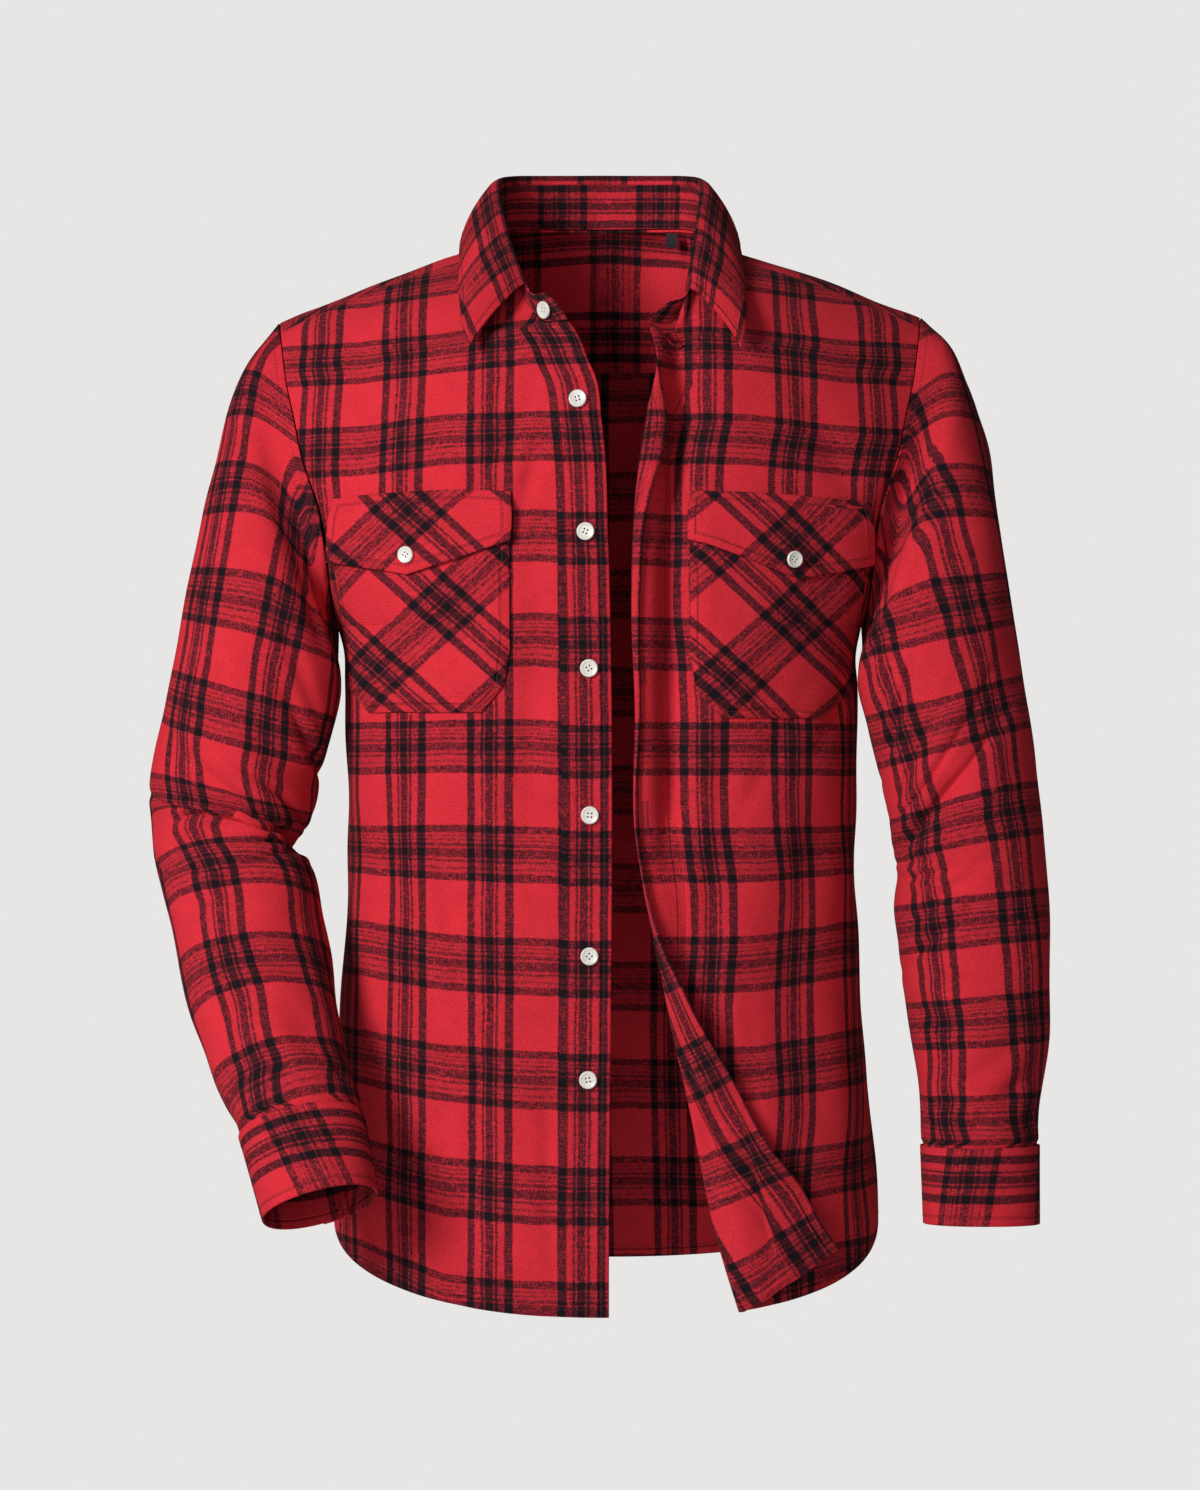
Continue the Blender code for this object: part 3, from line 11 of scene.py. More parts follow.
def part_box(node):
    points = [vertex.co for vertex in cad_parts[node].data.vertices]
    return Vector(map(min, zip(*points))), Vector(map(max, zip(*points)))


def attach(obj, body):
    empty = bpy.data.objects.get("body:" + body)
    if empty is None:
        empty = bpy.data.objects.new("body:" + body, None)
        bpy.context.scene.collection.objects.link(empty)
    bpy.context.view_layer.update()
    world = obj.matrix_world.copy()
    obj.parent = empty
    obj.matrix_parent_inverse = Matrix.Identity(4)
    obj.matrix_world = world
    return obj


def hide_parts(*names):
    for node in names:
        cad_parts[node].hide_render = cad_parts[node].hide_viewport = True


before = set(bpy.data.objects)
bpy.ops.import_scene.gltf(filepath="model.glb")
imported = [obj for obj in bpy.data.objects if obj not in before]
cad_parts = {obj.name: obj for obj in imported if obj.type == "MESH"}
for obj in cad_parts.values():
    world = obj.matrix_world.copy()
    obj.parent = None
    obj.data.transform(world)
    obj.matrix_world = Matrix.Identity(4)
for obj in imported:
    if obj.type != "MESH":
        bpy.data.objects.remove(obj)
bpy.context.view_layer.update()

bl_info = {
    "name": "Flannel Shirt",
    "version": (1, 0, 0),
    "blender": (4, 5, 0),
    "location": "3D View > Sidebar > Shirt",
    "description": "Builds a check flannel shirt, worn open, with its cloth, sewing and buttons",
    "category": "Add Mesh",
}

# ---- sizes the cloth follows, in metres ----
RIGHT, LEFT = -1, 1        # sign of X
SIDES = ((RIGHT, "right"), (LEFT, "left"))
CLOTH = 0.0015             # wall of one piece of flannel, with its turnings
SEAM_GAP = 0.0003          # between pieces that a seam joins
LAYER = CLOTH + SEAM_GAP   # from the middle of one layer to the middle of the next
BUTTON_RADIUS = 0.00635
BUTTON_THICK = 0.0028
# a button's outline round its dish, in shares of its radius and thickness; the dish's reach, top and foot
BUTTON_RIM = ((0.86, 0), (1, 0.35), (1, 0.70), (0.88, 1), (0.66, 0.78))
BUTTON_DISH, BUTTON_DISH_TOP, BUTTON_FLOOR = 0.56, 0.72, 0.05
BUTTON_HOLES, BUTTON_HOLE = 0.20, 0.105    # place and radius of its holes
FLAP_BUTTON_RADIUS = 0.0060
CUFF_BUTTON_RADIUS = 0.0055
PLACKET_WIDTH = 0.035
PLACKET_THICK = 0.0022     # the button placket is three layers
NECK_ROW = 1.75            # row of a front that ends at the neckline's front end
SEAM_TOP_ROW = 1.820       # row whose end on the neckline meets the placket's seam
POCKET_PUFF = 0.0018       # how far pockets stand off their front, past the seam gap
FOLD_RADIUS = 0.0024       # of the turned-back front edge, to the middle of the cloth
FLAP_SPRING = 0.075        # how far the turned-back edge stands off, for each metre of its width
FLAP_LIP = 0.55            # and how much more over its first 12 mm
FLAP_DOWN = (158, 178)     # the turned-back edge comes down on its panel between these turns
LEFT_SHOULDER_LIFT = 0.004
STAND_SHARE = 0.84         # how far up from the neckline to the fold the collar stand reaches
STAND_LIFT = 0.0016        # from the neckline up to the stand's lower edge
# its rounded ends: height, bulge; and how far along the neckline they reach
STAND_END = {RIGHT: ((0, 0.0), (0.4, 0.0015), (0.75, 0.0010), (1, -0.0020)),
             LEFT: ((0, 0.0010), (0.4, -0.0020), (0.75, -0.0065), (1, -0.0110))}
STAND_END_REACH = {RIGHT: 0.05, LEFT: 0.13}
COLLAR_ROLL = 0.0042       # how far the collar leaf stands out from the stand at its fold
LEAF_BELLY = 0.0035        # how far the leaf bows out between its fold and its edge
CUFF_OVERLAP = 26.0        # degrees of cuff that lie over its other end
CUFF_PROUD = 0.0012        # the cuff is this much wider than the sleeve that it holds
CUFF_START = 250.0         # where round the wrist the cuff's hidden end lies
CUFF_LAP = LAYER + 0.0006  # how far the cuff's outer end stands off its hidden one
ARMHOLE_EASE = (0.0007, 0.0021)   # how far out of the armhole the sleeve's head sits, top and armpit
# how far in from an edge its rows of stitches run
HEM_STITCH, PLACKET_STITCH, EDGE_STITCH, LEAF_STITCH = 0.0075, 0.0055, 0.0058, 0.0060
SEAM_STITCH, YOKE_STITCH, STAND_STITCH, LABEL_STITCH = 0.0022, 0.0028, 0.0030, 0.0011
# the rings of a stitch: place along half its length, share of the thread's radius
STITCH_FORM = ((-1, 0), (-0.72, 0.8), (0, 1), (0.72, 0.8), (1, 0))
HOLE_PITCH, HOLE_HALF = 0.0008, 0.0012     # of the stitches that edge a buttonhole, and half their length


def table(columns, *rows):
    """Named columns of numbers from rows: those named before a colon as they are, the rest in millimetres."""
    plain, _, lengths = columns.rpartition(":")
    return {name: np.array([row[k] for row in rows], float) / (1 if k < len(plain.split()) else 1000)
            for k, name in enumerate((plain + " " + lengths).split())}


def sides(columns, right, left):
    """The same for the right and the left side."""
    return {RIGHT: table(columns, *right), LEFT: table(columns, *left)}


def smooth(at, knots, values):
    """Smooth curve through the values at rising knots, flat past its ends."""
    at = np.clip(np.asarray(at, float), knots[0], knots[-1])
    step = np.diff(knots)
    slope = np.diff(values) / step
    tangent = np.empty(len(knots))
    tangent[0], tangent[-1] = slope[0], slope[-1]
    tangent[1:-1] = (slope[:-1] * step[1:] + slope[1:] * step[:-1]) / (step[:-1] + step[1:])
    k = np.clip(np.searchsorted(knots, at, side="right") - 1, 0, len(step) - 1)
    t = (at - knots[k]) / step[k]
    h = step[k]
    return (values[k] * (1 + 2 * t) * (1 - t) ** 2 + values[k + 1] * t * t * (3 - 2 * t)
            + h * tangent[k] * t * (1 - t) ** 2 + h * tangent[k + 1] * t * t * (t - 1))


def read(rows, key, at, *columns):
    """The named columns of a table, read at key values and set side by side."""
    return np.stack([smooth(at, rows[key], rows[name]) for name in columns], axis=-1)


def eased(share):
    """0 to 1 with soft ends."""
    share = np.clip(share, 0, 1)
    return share * share * (3 - 2 * share)


def on_line(line, reach, at):
    """Values of a line at distances along it."""
    return np.stack([np.interp(at, reach, line[:, k]) for k in range(3)], axis=-1)


def bend(p0, p1, p2, p3, t):
    """A smooth curve from p0 to p3 that sets out towards p1 and comes in from p2."""
    return p0 * (1 - t) ** 3 + 3 * p1 * t * (1 - t) ** 2 + 3 * p2 * t * t * (1 - t) + p3 * t ** 3


# ---- body sizes ----
# half widths of the body at heights from the side seam's foot to the armpit
TORSO = table(
    "z right left front back",
    (-772, 195, 203.5, 128.5, 118), (-710, 195, 204, 127, 116), (-680, 195, 203, 126, 114),
    (-640, 194, 198.5, 125, 112), (-600, 192, 194.5, 124, 110), (-560, 189.5, 191, 123, 108),
    (-520, 187, 188.5, 122, 106), (-480, 184.5, 187, 121, 105), (-440, 184.3, 186.8, 121, 105),
    (-400, 184.5, 187.5, 122, 107), (-360, 185.8, 188.5, 123.5, 110), (-326, 186.5, 188.5, 125, 113),
    (-300, 188.5, 189, 126.2, 115), (-285, 191.8, 191.8, 126.8, 116), (-226, 196.5, 196.5, 127, 118),
    (-160, 213, 213, 123.5, 118), (-120, 220, 220, 118.5, 115), (-83, 230, 230, 111, 110),
    (-66, 233, 233, 105, 106))

# the armhole, round from the shoulder tip (0) down the front to the armpit (180) and up the back
ARMHOLE = table(
    "turn: x y z",
    (0, 236.3, 4, -60), (18, 233.5, -22, -70), (35, 230.5, -37, -86), (52, 226.2, -52, -110),
    (70, 219.5, -64, -137), (88, 213, -71, -165), (104, 206.5, -74.5, -184), (118, 200.5, -75, -201.5),
    (133, 196.5, -69, -226), (149, 194.5, -53, -253.5), (165, 193, -28, -276), (180, 191.8, 0, -285),
    (195, 193, 26, -276), (212, 196, 46, -252), (229, 200, 58, -222), (247, 205.5, 64, -190),
    (266, 213, 66, -157), (286, 221, 60, -123), (306, 227.5, 49, -95), (325, 233.5, 33, -76),
    (343, 236, 19, -65), (360, 236.3, 4, -60))
FRONT_YOKE_TURN = 18.0
BACK_YOKE_TURN = 309.0

# the neckline with the collar above it, from the front end (0) to the middle of the back (1)
NECK = table(
    "way: x y z fold_x fold_y fold_z edge_x edge_y edge_z",
    (0, 21.9, -106, -72.2, 41.7, -100.6, -47.6, 88, -127, -104),
    (0.1, 41, -90, -70, 53, -80, -42.8, 92, -119, -92),
    (0.16, 50, -81, -59, 58.5, -69.5, -26.5, 97, -105, -75),
    (0.25, 58, -70, -44, 65, -52, -7, 100.3, -77, -50),
    (0.38, 67, -51, -29.5, 70.5, -30, 15.5, 101.5, -50, -29),
    (0.5, 73.7, -23.5, -11, 73.8, -6, 33.5, 102.5, -21, -8.5),
    (0.6, 76, 2, 2, 74.8, 15, 45.5, 102, 8, 3.5), (0.7, 73.5, 26, 10, 72.5, 35, 53, 97, 40, 9.5),
    (0.8, 62, 50, 16, 62, 56, 58.2, 81, 72, 11.8), (0.9, 40, 68, 18.8, 40, 72.5, 61.2, 54, 94.5, 12.6),
    (1, 0, 75.5, 19.5, 0, 79, 62.5, 0, 104.5, 13))
FRONT_YOKE_WAY = 0.50      # where the front yoke seam meets the neckline
LEAF_START = 0.10          # the collar leaf begins this far along, behind the stand's rounded end

# how much further out and up the left front end of the neck is
LEFT_NECK = table(
    "way: x z fold_x fold_z edge_x edge_z",
    (0, 12.6, -1.8, 2.7, -4.8, 7.2, 0), (0.1, 10, -2, 10.3, -2.9, 7.2, 0),
    (0.16, 7.5, -1.5, 6.5, -2, 5.5, 0), (0.25, 4.5, -1, 3, -1, 3.5, 0), (0.38, 1.5, 0, 0.5, 0, 2, 0),
    (0.5, 0, 0, 0, 0, 0, 0))

# front edges, by height: the right front's own edge, and where the left front's cloth is folded back
RIGHT_EDGE = table(
    "z x",
    (-772, 6.3), (-220, 5.6), (-165, 3.5), (-144.5, 1.4), (-112.4, -3.1), (-98.3, -9.2), (-84.2, -14.3),
    (-72.2, -21.9))
LEFT_REACH = table(
    "z x",
    (-772, 22), (-180, 22), (-150, 26), (-128.3, 33), (-106.8, 39), (-99.5, 40), (-92.3, 39.6),
    (-85, 37.8), (-74, 34.5))
LEFT_FOLD = table(
    "turn: z x width strip",
    (180, -780, 103.5, 83, 35), (180, -765, 98.7, 79, 35), (176, -712, 83.3, 66.5, 35),
    (160, -634, 66.5, 42, 35), (121, -556, 49.7, 27, 35), (100, -510, 40.8, 15, 35),
    (100, -479, 34.3, 9, 35), (110, -439, 28, 7.5, 35), (152, -344, 27.3, 8.5, 35),
    (166, -270, 25, 10, 35), (172, -219, 26.2, 11, 35), (176, -165.7, 31, 14.5, 35),
    (172, -135, 36, 12.5, 34.5), (162, -118, 39.2, 8, 33.5), (148, -106.8, 41, 4.5, 32.5),
    (125, -99.5, 41.6, 2, 32), (100, -92.3, 40.3, 0.6, 32), (90, -85, 38, 0, 33),
    (90, -74, 34.5, 0, 34.5))

# rows of the fronts and the back: 0 is the hem, 1 the armpit, 2 the yoke seam
ROWS = table(
    "row turn_front turn_back across deep: front_z back_z rise",
    (0, 180, 180, 2.4, 2.4, -772, -768, 0), (1, 180, 180, 2.4, 2.4, -285, -285, 0),
    (1.12, 157, 203, 2.3, 1.95, -258, -258, 0), (1.25, 133, 226, 2.2, 1.55, -226, -224, 0),
    (1.5, 91, 259, 2, 1.15, -160, -166, 0), (1.75, 56, 286, 1.6, 1, -72.2, -122, 3),
    (2, 18, 309, 1.3, 1, -11, -83, 5))
SIDE_FOOT = -0.710         # the side seam's lower end
ARMPIT = -0.285

# the largest folds: soft troughs (+) and ridges (-) of the fronts, at x and z, leaning by lean
FRONT_FOLDS = sides(
    "lean: x z wide tall depth",
    ((0.02, -47, -330, 12, 140, 3.5), (-0.2, -150, -465, 16, 65, 3), (0.45, -165, -170, 14, 50, 3),
     (0.05, -100, -600, 20, 120, 2.5), (-0.05, -60, -640, 16, 110, -2)),
    ((0, 58, -300, 10, 170, 4.5), (0.18, 150, -475, 18, 65, 3.5), (-0.45, 165, -165, 14, 55, 3),
     (-0.1, 140, -580, 20, 110, 3), (-0.05, 170, -620, 12, 90, -2)))
BACK_FOLDS = table(
    "lean: x z wide tall depth",
    (-0.15, -120, -420, 18, 120, 4), (0.18, 115, -440, 18, 110, 3.5), (0.03, -45, -560, 22, 120, 3),
    (-0.04, 40, -330, 20, 130, 3), (-0.35, 150, -240, 16, 70, 3.5), (0.35, -150, -235, 16, 70, 3.5))

# ---- sleeve sizes ----
# rings below the armhole: outer point, inner point (x, z), depth position and half depth
SLEEVE = sides(
    "ring: out_x out_z in_x in_z y deep",
    ((1, 257.2, -81.3, 194.8, -293.4, 2, 64), (2, 270.6, -120.2, 192.5, -310, -10, 64),
     (3, 280, -161.9, 190.3, -326.4, -24, 63), (4, 289, -200.6, 189.8, -340.4, -34, 62),
     (5, 297, -246.1, 193.2, -357.9, -40, 60), (6, 305.5, -289.7, 198.8, -376.1, -42, 58.5),
     (7, 314.2, -334.7, 205.3, -393.5, -42, 57), (8, 321.6, -373.2, 207.6, -410.9, -41, 56.5),
     (9, 326, -404.4, 211.9, -431.9, -42, 56), (10, 325.1, -423.2, 216.8, -444.9, -44, 55.5),
     (11, 320.3, -452, 210.4, -452.7, -50, 54), (12, 314.2, -475.5, 204.7, -468.3, -58, 53),
     (13, 306.1, -503.6, 200.7, -490.7, -70, 52.5), (14, 296.9, -538.3, 193, -520.5, -86, 51),
     (15, 287.8, -565.5, 188.8, -553.4, -102, 49), (16, 274.3, -596.2, 181.7, -578, -120, 47),
     (17, 261.1, -621.7, 172, -604.3, -137, 44), (18, 247.9, -644.1, 165.3, -624.9, -152, 40),
     (19, 228.4, -698.5, 154.5, -676.6, -178, 35)),
    ((1, 255.2, -72.9, 195.3, -293.3, 4, 64), (2, 269.2, -102.6, 193, -310, -10, 64),
     (3, 277, -134.9, 191.8, -326.4, -25, 63), (4, 283, -171, 191.2, -340.4, -36, 62),
     (5, 288.8, -204.1, 194.5, -357.9, -42, 61), (6, 294.9, -244.2, 199.3, -379.7, -45, 60),
     (7, 299.9, -284.1, 204.3, -400, -46, 59), (8, 305.5, -323.9, 209.2, -419.5, -47, 58),
     (9, 310.5, -360.1, 210.9, -434, -48, 57.5), (10, 315.3, -397.8, 210.4, -459.9, -50, 56.5),
     (11, 319.3, -436, 211.7, -486.6, -52, 55.5), (12, 322, -472.1, 215.1, -511.8, -54, 54.5),
     (13, 323.5, -508, 218.5, -536.9, -56, 53.5), (14, 323.9, -544, 222.7, -562, -58, 52),
     (15, 322.6, -576.2, 226.1, -590.6, -60, 50), (16, 318.8, -612.1, 230.3, -619.3, -61, 47),
     (17, 315.5, -636.5, 232, -639.3, -62, 44), (18, 314.2, -657.3, 232.4, -658, -62, 40),
     (19, 313.8, -715, 234.1, -715, -66, 35)))
SLEEVE_END, CUFF_END = 18.0, 19.0
SLEEVE_ROUND = 2.15        # superellipse power of a sleeve's section
CAP_ROUND = 2.9            # and where it meets the armhole

# large folds and finer creases: ring and turn (0 out, 90 front, 180 in, 270 back) of the middle, reach,
# slant and depth
SLEEVE_FOLDS = sides(
    "ring turn long round slant: depth",
    ((9.2, 120, 0.5, 60, 0.01, 7.5), (10.6, 165, 0.45, 50, -0.006, 8), (8, 60, 0.5, 45, 0.012, 5),
     (10.9, 75, 0.45, 45, -0.014, 5), (12.6, 110, 0.55, 40, -0.01, 3.5),
     (6.6, 100, 0.5, 40, 0.012, 3.5), (9.8, 230, 0.5, 40, 0.008, 5), (3, 110, 0.8, 26, 0.03, 4.5),
     (3.6, 250, 0.8, 26, -0.03, 4), (16.6, 60, 0.8, 18, 0, 3.5), (16.4, 120, 0.8, 18, 0, 3.5),
     (16.5, 290, 0.8, 20, 0, 3.5), (9.9, 90, 0.16, 50, -0.016, 4.3), (10.3, 130, 0.14, 34, 0.004, 4.9),
     (8.7, 110, 0.16, 40, 0.015, 3.8), (11.7, 130, 0.18, 40, -0.018, 3.8),
     (9.4, 25, 0.2, 26, 0.012, 3.2), (12.9, 75, 0.25, 30, -0.012, 2.6), (14.6, 110, 0.3, 32, 0.01, 2.9),
     (9.3, 250, 0.18, 45, 0.012, 3.8), (10.8, 235, 0.18, 45, -0.012, 3.8),
     (2.2, 130, 0.4, 20, 0.03, 3.2), (4.8, 120, 0.3, 30, 0.02, 2.6), (17.2, 35, 0.5, 9, 0, 2.9),
     (17.2, 92, 0.5, 9, 0, 3.2), (17.2, 150, 0.5, 9, 0, 2.9), (17.2, 225, 0.5, 9, 0, 2.9),
     (9.55, 140, 0.13, 45, 0.01, 8.5), (10.05, 115, 0.12, 40, -0.006, 6.8),
     (10.75, 150, 0.14, 40, -0.014, 7.8), (8.3, 140, 0.18, 42, 0.016, 6.4),
     (6.2, 150, 0.26, 38, 0.02, 5.8), (12.2, 60, 0.2, 30, 0.012, 3.2),
     (15.4, 75, 0.35, 24, -0.012, 3.2)),
    ((9.4, 130, 0.5, 50, 0.01, 5.5), (10.8, 150, 0.5, 50, -0.01, 5), (8.2, 80, 0.6, 40, 0.012, 3.5),
     (12.6, 110, 0.6, 45, -0.01, 3.5), (10, 240, 0.5, 40, 0.008, 4.5), (3, 110, 0.8, 26, 0.03, 4.5),
     (3.6, 250, 0.8, 26, -0.03, 4), (16.6, 70, 0.8, 18, 0, 3.5), (16.4, 125, 0.8, 18, 0, 3.5),
     (16.5, 300, 0.8, 20, 0, 3.5), (9.3, 140, 0.14, 45, 0.012, 5.2), (10.6, 130, 0.12, 40, -0.008, 5),
     (8, 110, 0.16, 40, 0.014, 3.8), (12.4, 140, 0.18, 40, 0.01, 4.2),
     (14.4, 130, 0.25, 34, -0.012, 3.8), (16, 60, 0.35, 22, 0.01, 3.2), (6, 140, 0.22, 34, 0.02, 3.6),
     (9, 100, 0.18, 44, 0.014, 3.5), (10.2, 135, 0.16, 40, -0.012, 4.1),
     (11.4, 120, 0.18, 40, 0.01, 3.2), (7.4, 130, 0.25, 34, 0.018, 2.9),
     (13.6, 100, 0.25, 36, -0.01, 2.9), (15.4, 85, 0.4, 24, 0.016, 3.5),
     (9.6, 250, 0.18, 45, -0.012, 3.5), (2.2, 130, 0.4, 20, 0.03, 3.2), (4.8, 120, 0.3, 30, 0.02, 2.6),
     (17.2, 40, 0.5, 9, 0, 2.9), (17.2, 98, 0.5, 9, 0, 3.2), (17.2, 155, 0.5, 9, 0, 2.9),
     (17.2, 235, 0.5, 9, 0, 2.9)))

# ---- pockets ----
POCKET = sides(
    "z outer inner",
    ((-348.5, 164.5, 82.8), (-329.5, 180, 67.2), (-305, 182.5, 63.1), (-250, 188, 63.1),
     (-202, 192, 63.1)),
    ((-352.5, 156, 84.9), (-333.5, 179.5, 68), (-305, 183, 64), (-250, 188.5, 64), (-202, 192.5, 64)))
POCKET_FLAP = sides(
    "x top foot",
    ((62.5, -194, -228.4), (96.8, -192, -239.5), (133.2, -193, -251), (164, -194.2, -245),
     (190, -196, -239.2)),
    ((64.5, -193.5, -227.7), (100, -194, -240), (136.7, -195.5, -253.8), (166, -197.5, -248),
     (190.5, -198.5, -241.5)))

# ---- where the buttons sit ----
# heights on the front edge
BUTTON_HEIGHTS = (-0.1288, -0.2221, -0.3177, -0.4207, -0.5197, -0.6060)
BUTTON_INSET = 0.0155      # in from that edge
FLAP_BUTTON_X = 0.1332
FLAP_BUTTON_ABOVE_TIP = 0.0135

# ---- the neck label ----
LABEL_WAY = 0.83           # its place along the neckline
LABEL_SIZE = (0.0118, 0.0106)
LABEL_THICK = 0.0006

# ---- finer creases of the body, beside its large folds ----
FRONT_CREASES = sides(
    "lean: x z wide tall depth",
    ((0.06, -30, -560, 7, 90, 1.6), (-0.25, -85, -420, 8, 60, 1.4), (-0.6, -130, -345, 9, 40, 1.8),
     (-0.5, -172, -330, 7, 45, 2), (0.1, -155, -545, 9, 80, 1.8), (0.05, -120, -700, 10, 60, -1.4),
     (0.3, -70, -120, 8, 40, 1.4), (0.55, -62, -150, 10, 35, 3.2), (0.25, -50, -185, 6, 40, 2.4),
     (0.1, -86, -640, 7, 120, 3), (-0.04, -36, -680, 6, 80, 2), (-0.16, -110, -480, 7, 90, 2.6)),
    ((0, 29, -320, 16, 190, -5), (0.02, 49, -275, 9.2, 70, 15), (0.02, 49, -390, 9.2, 52, 14),
     (0.04, 52, -165, 8.5, 50, 15), (-0.1, 58, -100, 12, 50, 15), (-0.1, 66, -560, 8, 150, 3.4),
     (-0.16, 94, -600, 7, 110, 2.8), (0.08, 82, -450, 8, 100, 1.8), (0.5, 120, -380, 8, 50, 1.6),
     (0.5, 172, -340, 7, 45, 2), (-0.08, 110, -640, 9, 90, 1.8), (-0.1, 155, -690, 10, 60, -1.6),
     (-0.3, 78, -125, 8, 40, 1.4)))
BACK_CREASES = table(
    "lean: x z wide tall depth",
    (-0.2, -80, -300, 8, 80, 1.8), (0.15, 75, -350, 8, 90, 1.8), (0.04, 20, -600, 10, 90, -1.6),
    (0.1, -140, -600, 10, 80, 2), (-0.12, 150, -560, 10, 80, 2))

# ---- the check ----
CHECK_ACROSS, CHECK_DOWN = 0.065, 0.077      # its repeat across and down the cloth
STRIPE_LEAD = 0.002        # of the repeat, before its first stripe
STRIPE_BLUR = 0.00045      # most that a stripe's edge is softened to each side
# dark stripes of one repeat, in millimetres from its start: start, end, darkness
WARP_STRIPES = ((0, 5.3, 1), (10.2, 12, 0.85), (13.3, 19, 0.95), (20.3, 22.4, 0.85), (27.3, 33.3, 1))
WEFT_STRIPES = ((0, 5.3, 1), (7, 8.2, 0.68), (9.7, 11, 0.75), (12.6, 15, 0.9), (16.4, 22.6, 1),
                (24.2, 26, 0.85), (29.4, 31, 0.65), (33.5, 39, 1))
# distances from the middle of each front, then the heights there at which the check's weft groups start
CHECK_FRONT = sides(
    "edge inner outer seam",
    ((0, 45.5, 109, 170), (61, 60, 45, 33), (-4, -5.4, -18, -26.4), (-69.1, -68.4, -77.5, -81.7),
     (-137, -137, -138.4, -144.7), (-208.4, -206.3, -209.8, -215.4), (-281.9, -278.4, -281.9, -288.2),
     (-357.5, -353.3, -354, -355.4), (-431.7, -428.9, -427.5, -429.6), (-508.7, -507.3, -505.2, -497.5),
     (-587.8, -586.4, -582.9, -575.2), (-667.6, -666.2, -662, -652.2), (-747.4, -746.7, -743.9, -725),
     (-828, -827, -826, -800)),
    ((0, 65, 109, 172), (52, 52, 48, 36), (-12.5, -12.5, -14.5, -21.5), (-73, -73.5, -75.4, -80.3),
     (-137, -137.7, -139.1, -144.7), (-209.5, -209.8, -210.5, -215.4), (-281.9, -282.2, -282.6, -286.8),
     (-355.4, -355.4, -355.4, -356.8), (-429.6, -429.6, -429.6, -429.6),
     (-506.6, -506.3, -505.9, -498.9), (-584.3, -584, -583.6, -576.6), (-659.2, -659, -658.5, -655),
     (-735.5, -735, -734.8, -725), (-812, -812, -812, -800)))
# the same down the outer and inner lines of each sleeve, from the shoulder
CHECK_SLEEVE = sides(
    "outer inner",
    ((-30, -115), (-99, -185), (-169.3, -235), (-244.9, -286.1), (-316.5, -353.2), (-391.2, -420.4),
     (-460.3, -452.5), (-532.1, -518.2), (-608.7, -586.1), (-678, -654), (-750, -720)),
    ((-33, -115), (-103.3, -170), (-173.7, -219), (-248, -281.7), (-321.1, -352.5), (-397.8, -425.4),
     (-474.4, -488.2), (-547.2, -557.3), (-618.8, -622.6), (-690, -693), (-760, -760)))
# a line down the front of each sleeve that the check's warp follows
GRAIN_SLEEVE = sides(
    "x z",
    ((-228, -117), (-236.6, -160), (-249, -235), (-260, -302), (-271, -388), (-261, -418), (-240, -456),
     (-229, -507), (-208, -574), (-192, -635), (-184, -700)),
    ((197, -117), (214, -170), (232, -235), (256, -320), (271.6, -390), (282, -470), (288, -530),
     (293, -600), (294, -700)))
GRAIN_PLACE = {RIGHT: 0.049, LEFT: 0.03}    # its place in the repeat
RIGHT_CHECK_START = 0.02945    # the repeat's start from the middle of the right front's panel
PLACKET_CHECK_START = 0.03575  # and from the right front's edge on its placket
LEFT_CHECK_START = 0.0386      # and from the left front's own edge
LEFT_TURNED_START = -0.0045    # the same where that edge is turned back
LEFT_EDGE_PLACE = 0.0218       # how far from the middle that edge lies where it is straight
LEFT_EDGE_BEND = -0.25         # above this height it curves outwards,
STRIP_BEND = -0.20             # and above this one the check runs on beside its placket
BACK_CHECK = (0.0386, -0.160, 0.0757)      # start across, start down, repeat down
POCKET_TURN = {RIGHT: 42.0, LEFT: 43.0}
# where a warp group and a weft group cross, on the flap and on the pocket; and their middles in the repeat
POCKET_CROSS = {RIGHT: ((0.1330, -0.2075), (0.1070, -0.2740)), LEFT: ((0.1345, -0.2290), (0.1370, -0.2820))}
GROUP_MIDDLE = (0.01665, 0.0195)
YOKE_CHECK = (-0.0077, -0.0366)            # where a group starts: across, and down at the middle
STAND_CHECK = (0.0004, 0.049)              # start below the fold, start from the middle
LEAF_CHECK = (0.0040, 0.0175, 0.190)       # start down from the fold, start from the middle, at the ends
LEAF_POINT = 0.012                         # how far the check leans towards the points
LEAF_BLEND = (0.075, 0.045)                # it does so from this far off the ends, over this length
CUFF_CHECK = {RIGHT: (0.0062, -0.2100), LEFT: (0.0062, 0.2436)}

# ---- how finely each piece is made ----
SPACING = 0.0034           # between points of the large pieces
FINE = 0.0020              # and of the small ones
PANEL_SIDE = 0.487         # length of a panel's side seam, and of the fronts and back above it
FRONT_ABOVE, BACK_ABOVE = 0.30, 0.22
CAP_ROWS = 52              # rows of a sleeve's net above the armpit
CAP_PASSES = 60            # of smoothing where it leaves the armhole
GRAIN_ROWS = 8             # rows over which the way of its grain is taken
CAP_GRAIN_ROWS = 24        # rows at its top that share one way
CUFF_TUCK = 0.0013         # how far the sleeve's end steps in, to go under the cuff
TUCK_RINGS = 0.06          # ring numbers over which it does, and its steps under the cuff
CUFF_RING = 0.03           # ring numbers past the sleeve's end at which the cuff starts
ROLL_COLUMNS = 5.0         # more columns where the left front rolls over its fold
DENSE_ROWS, DENSE_COLUMNS = 281, 181       # of the net from which a front's points are read


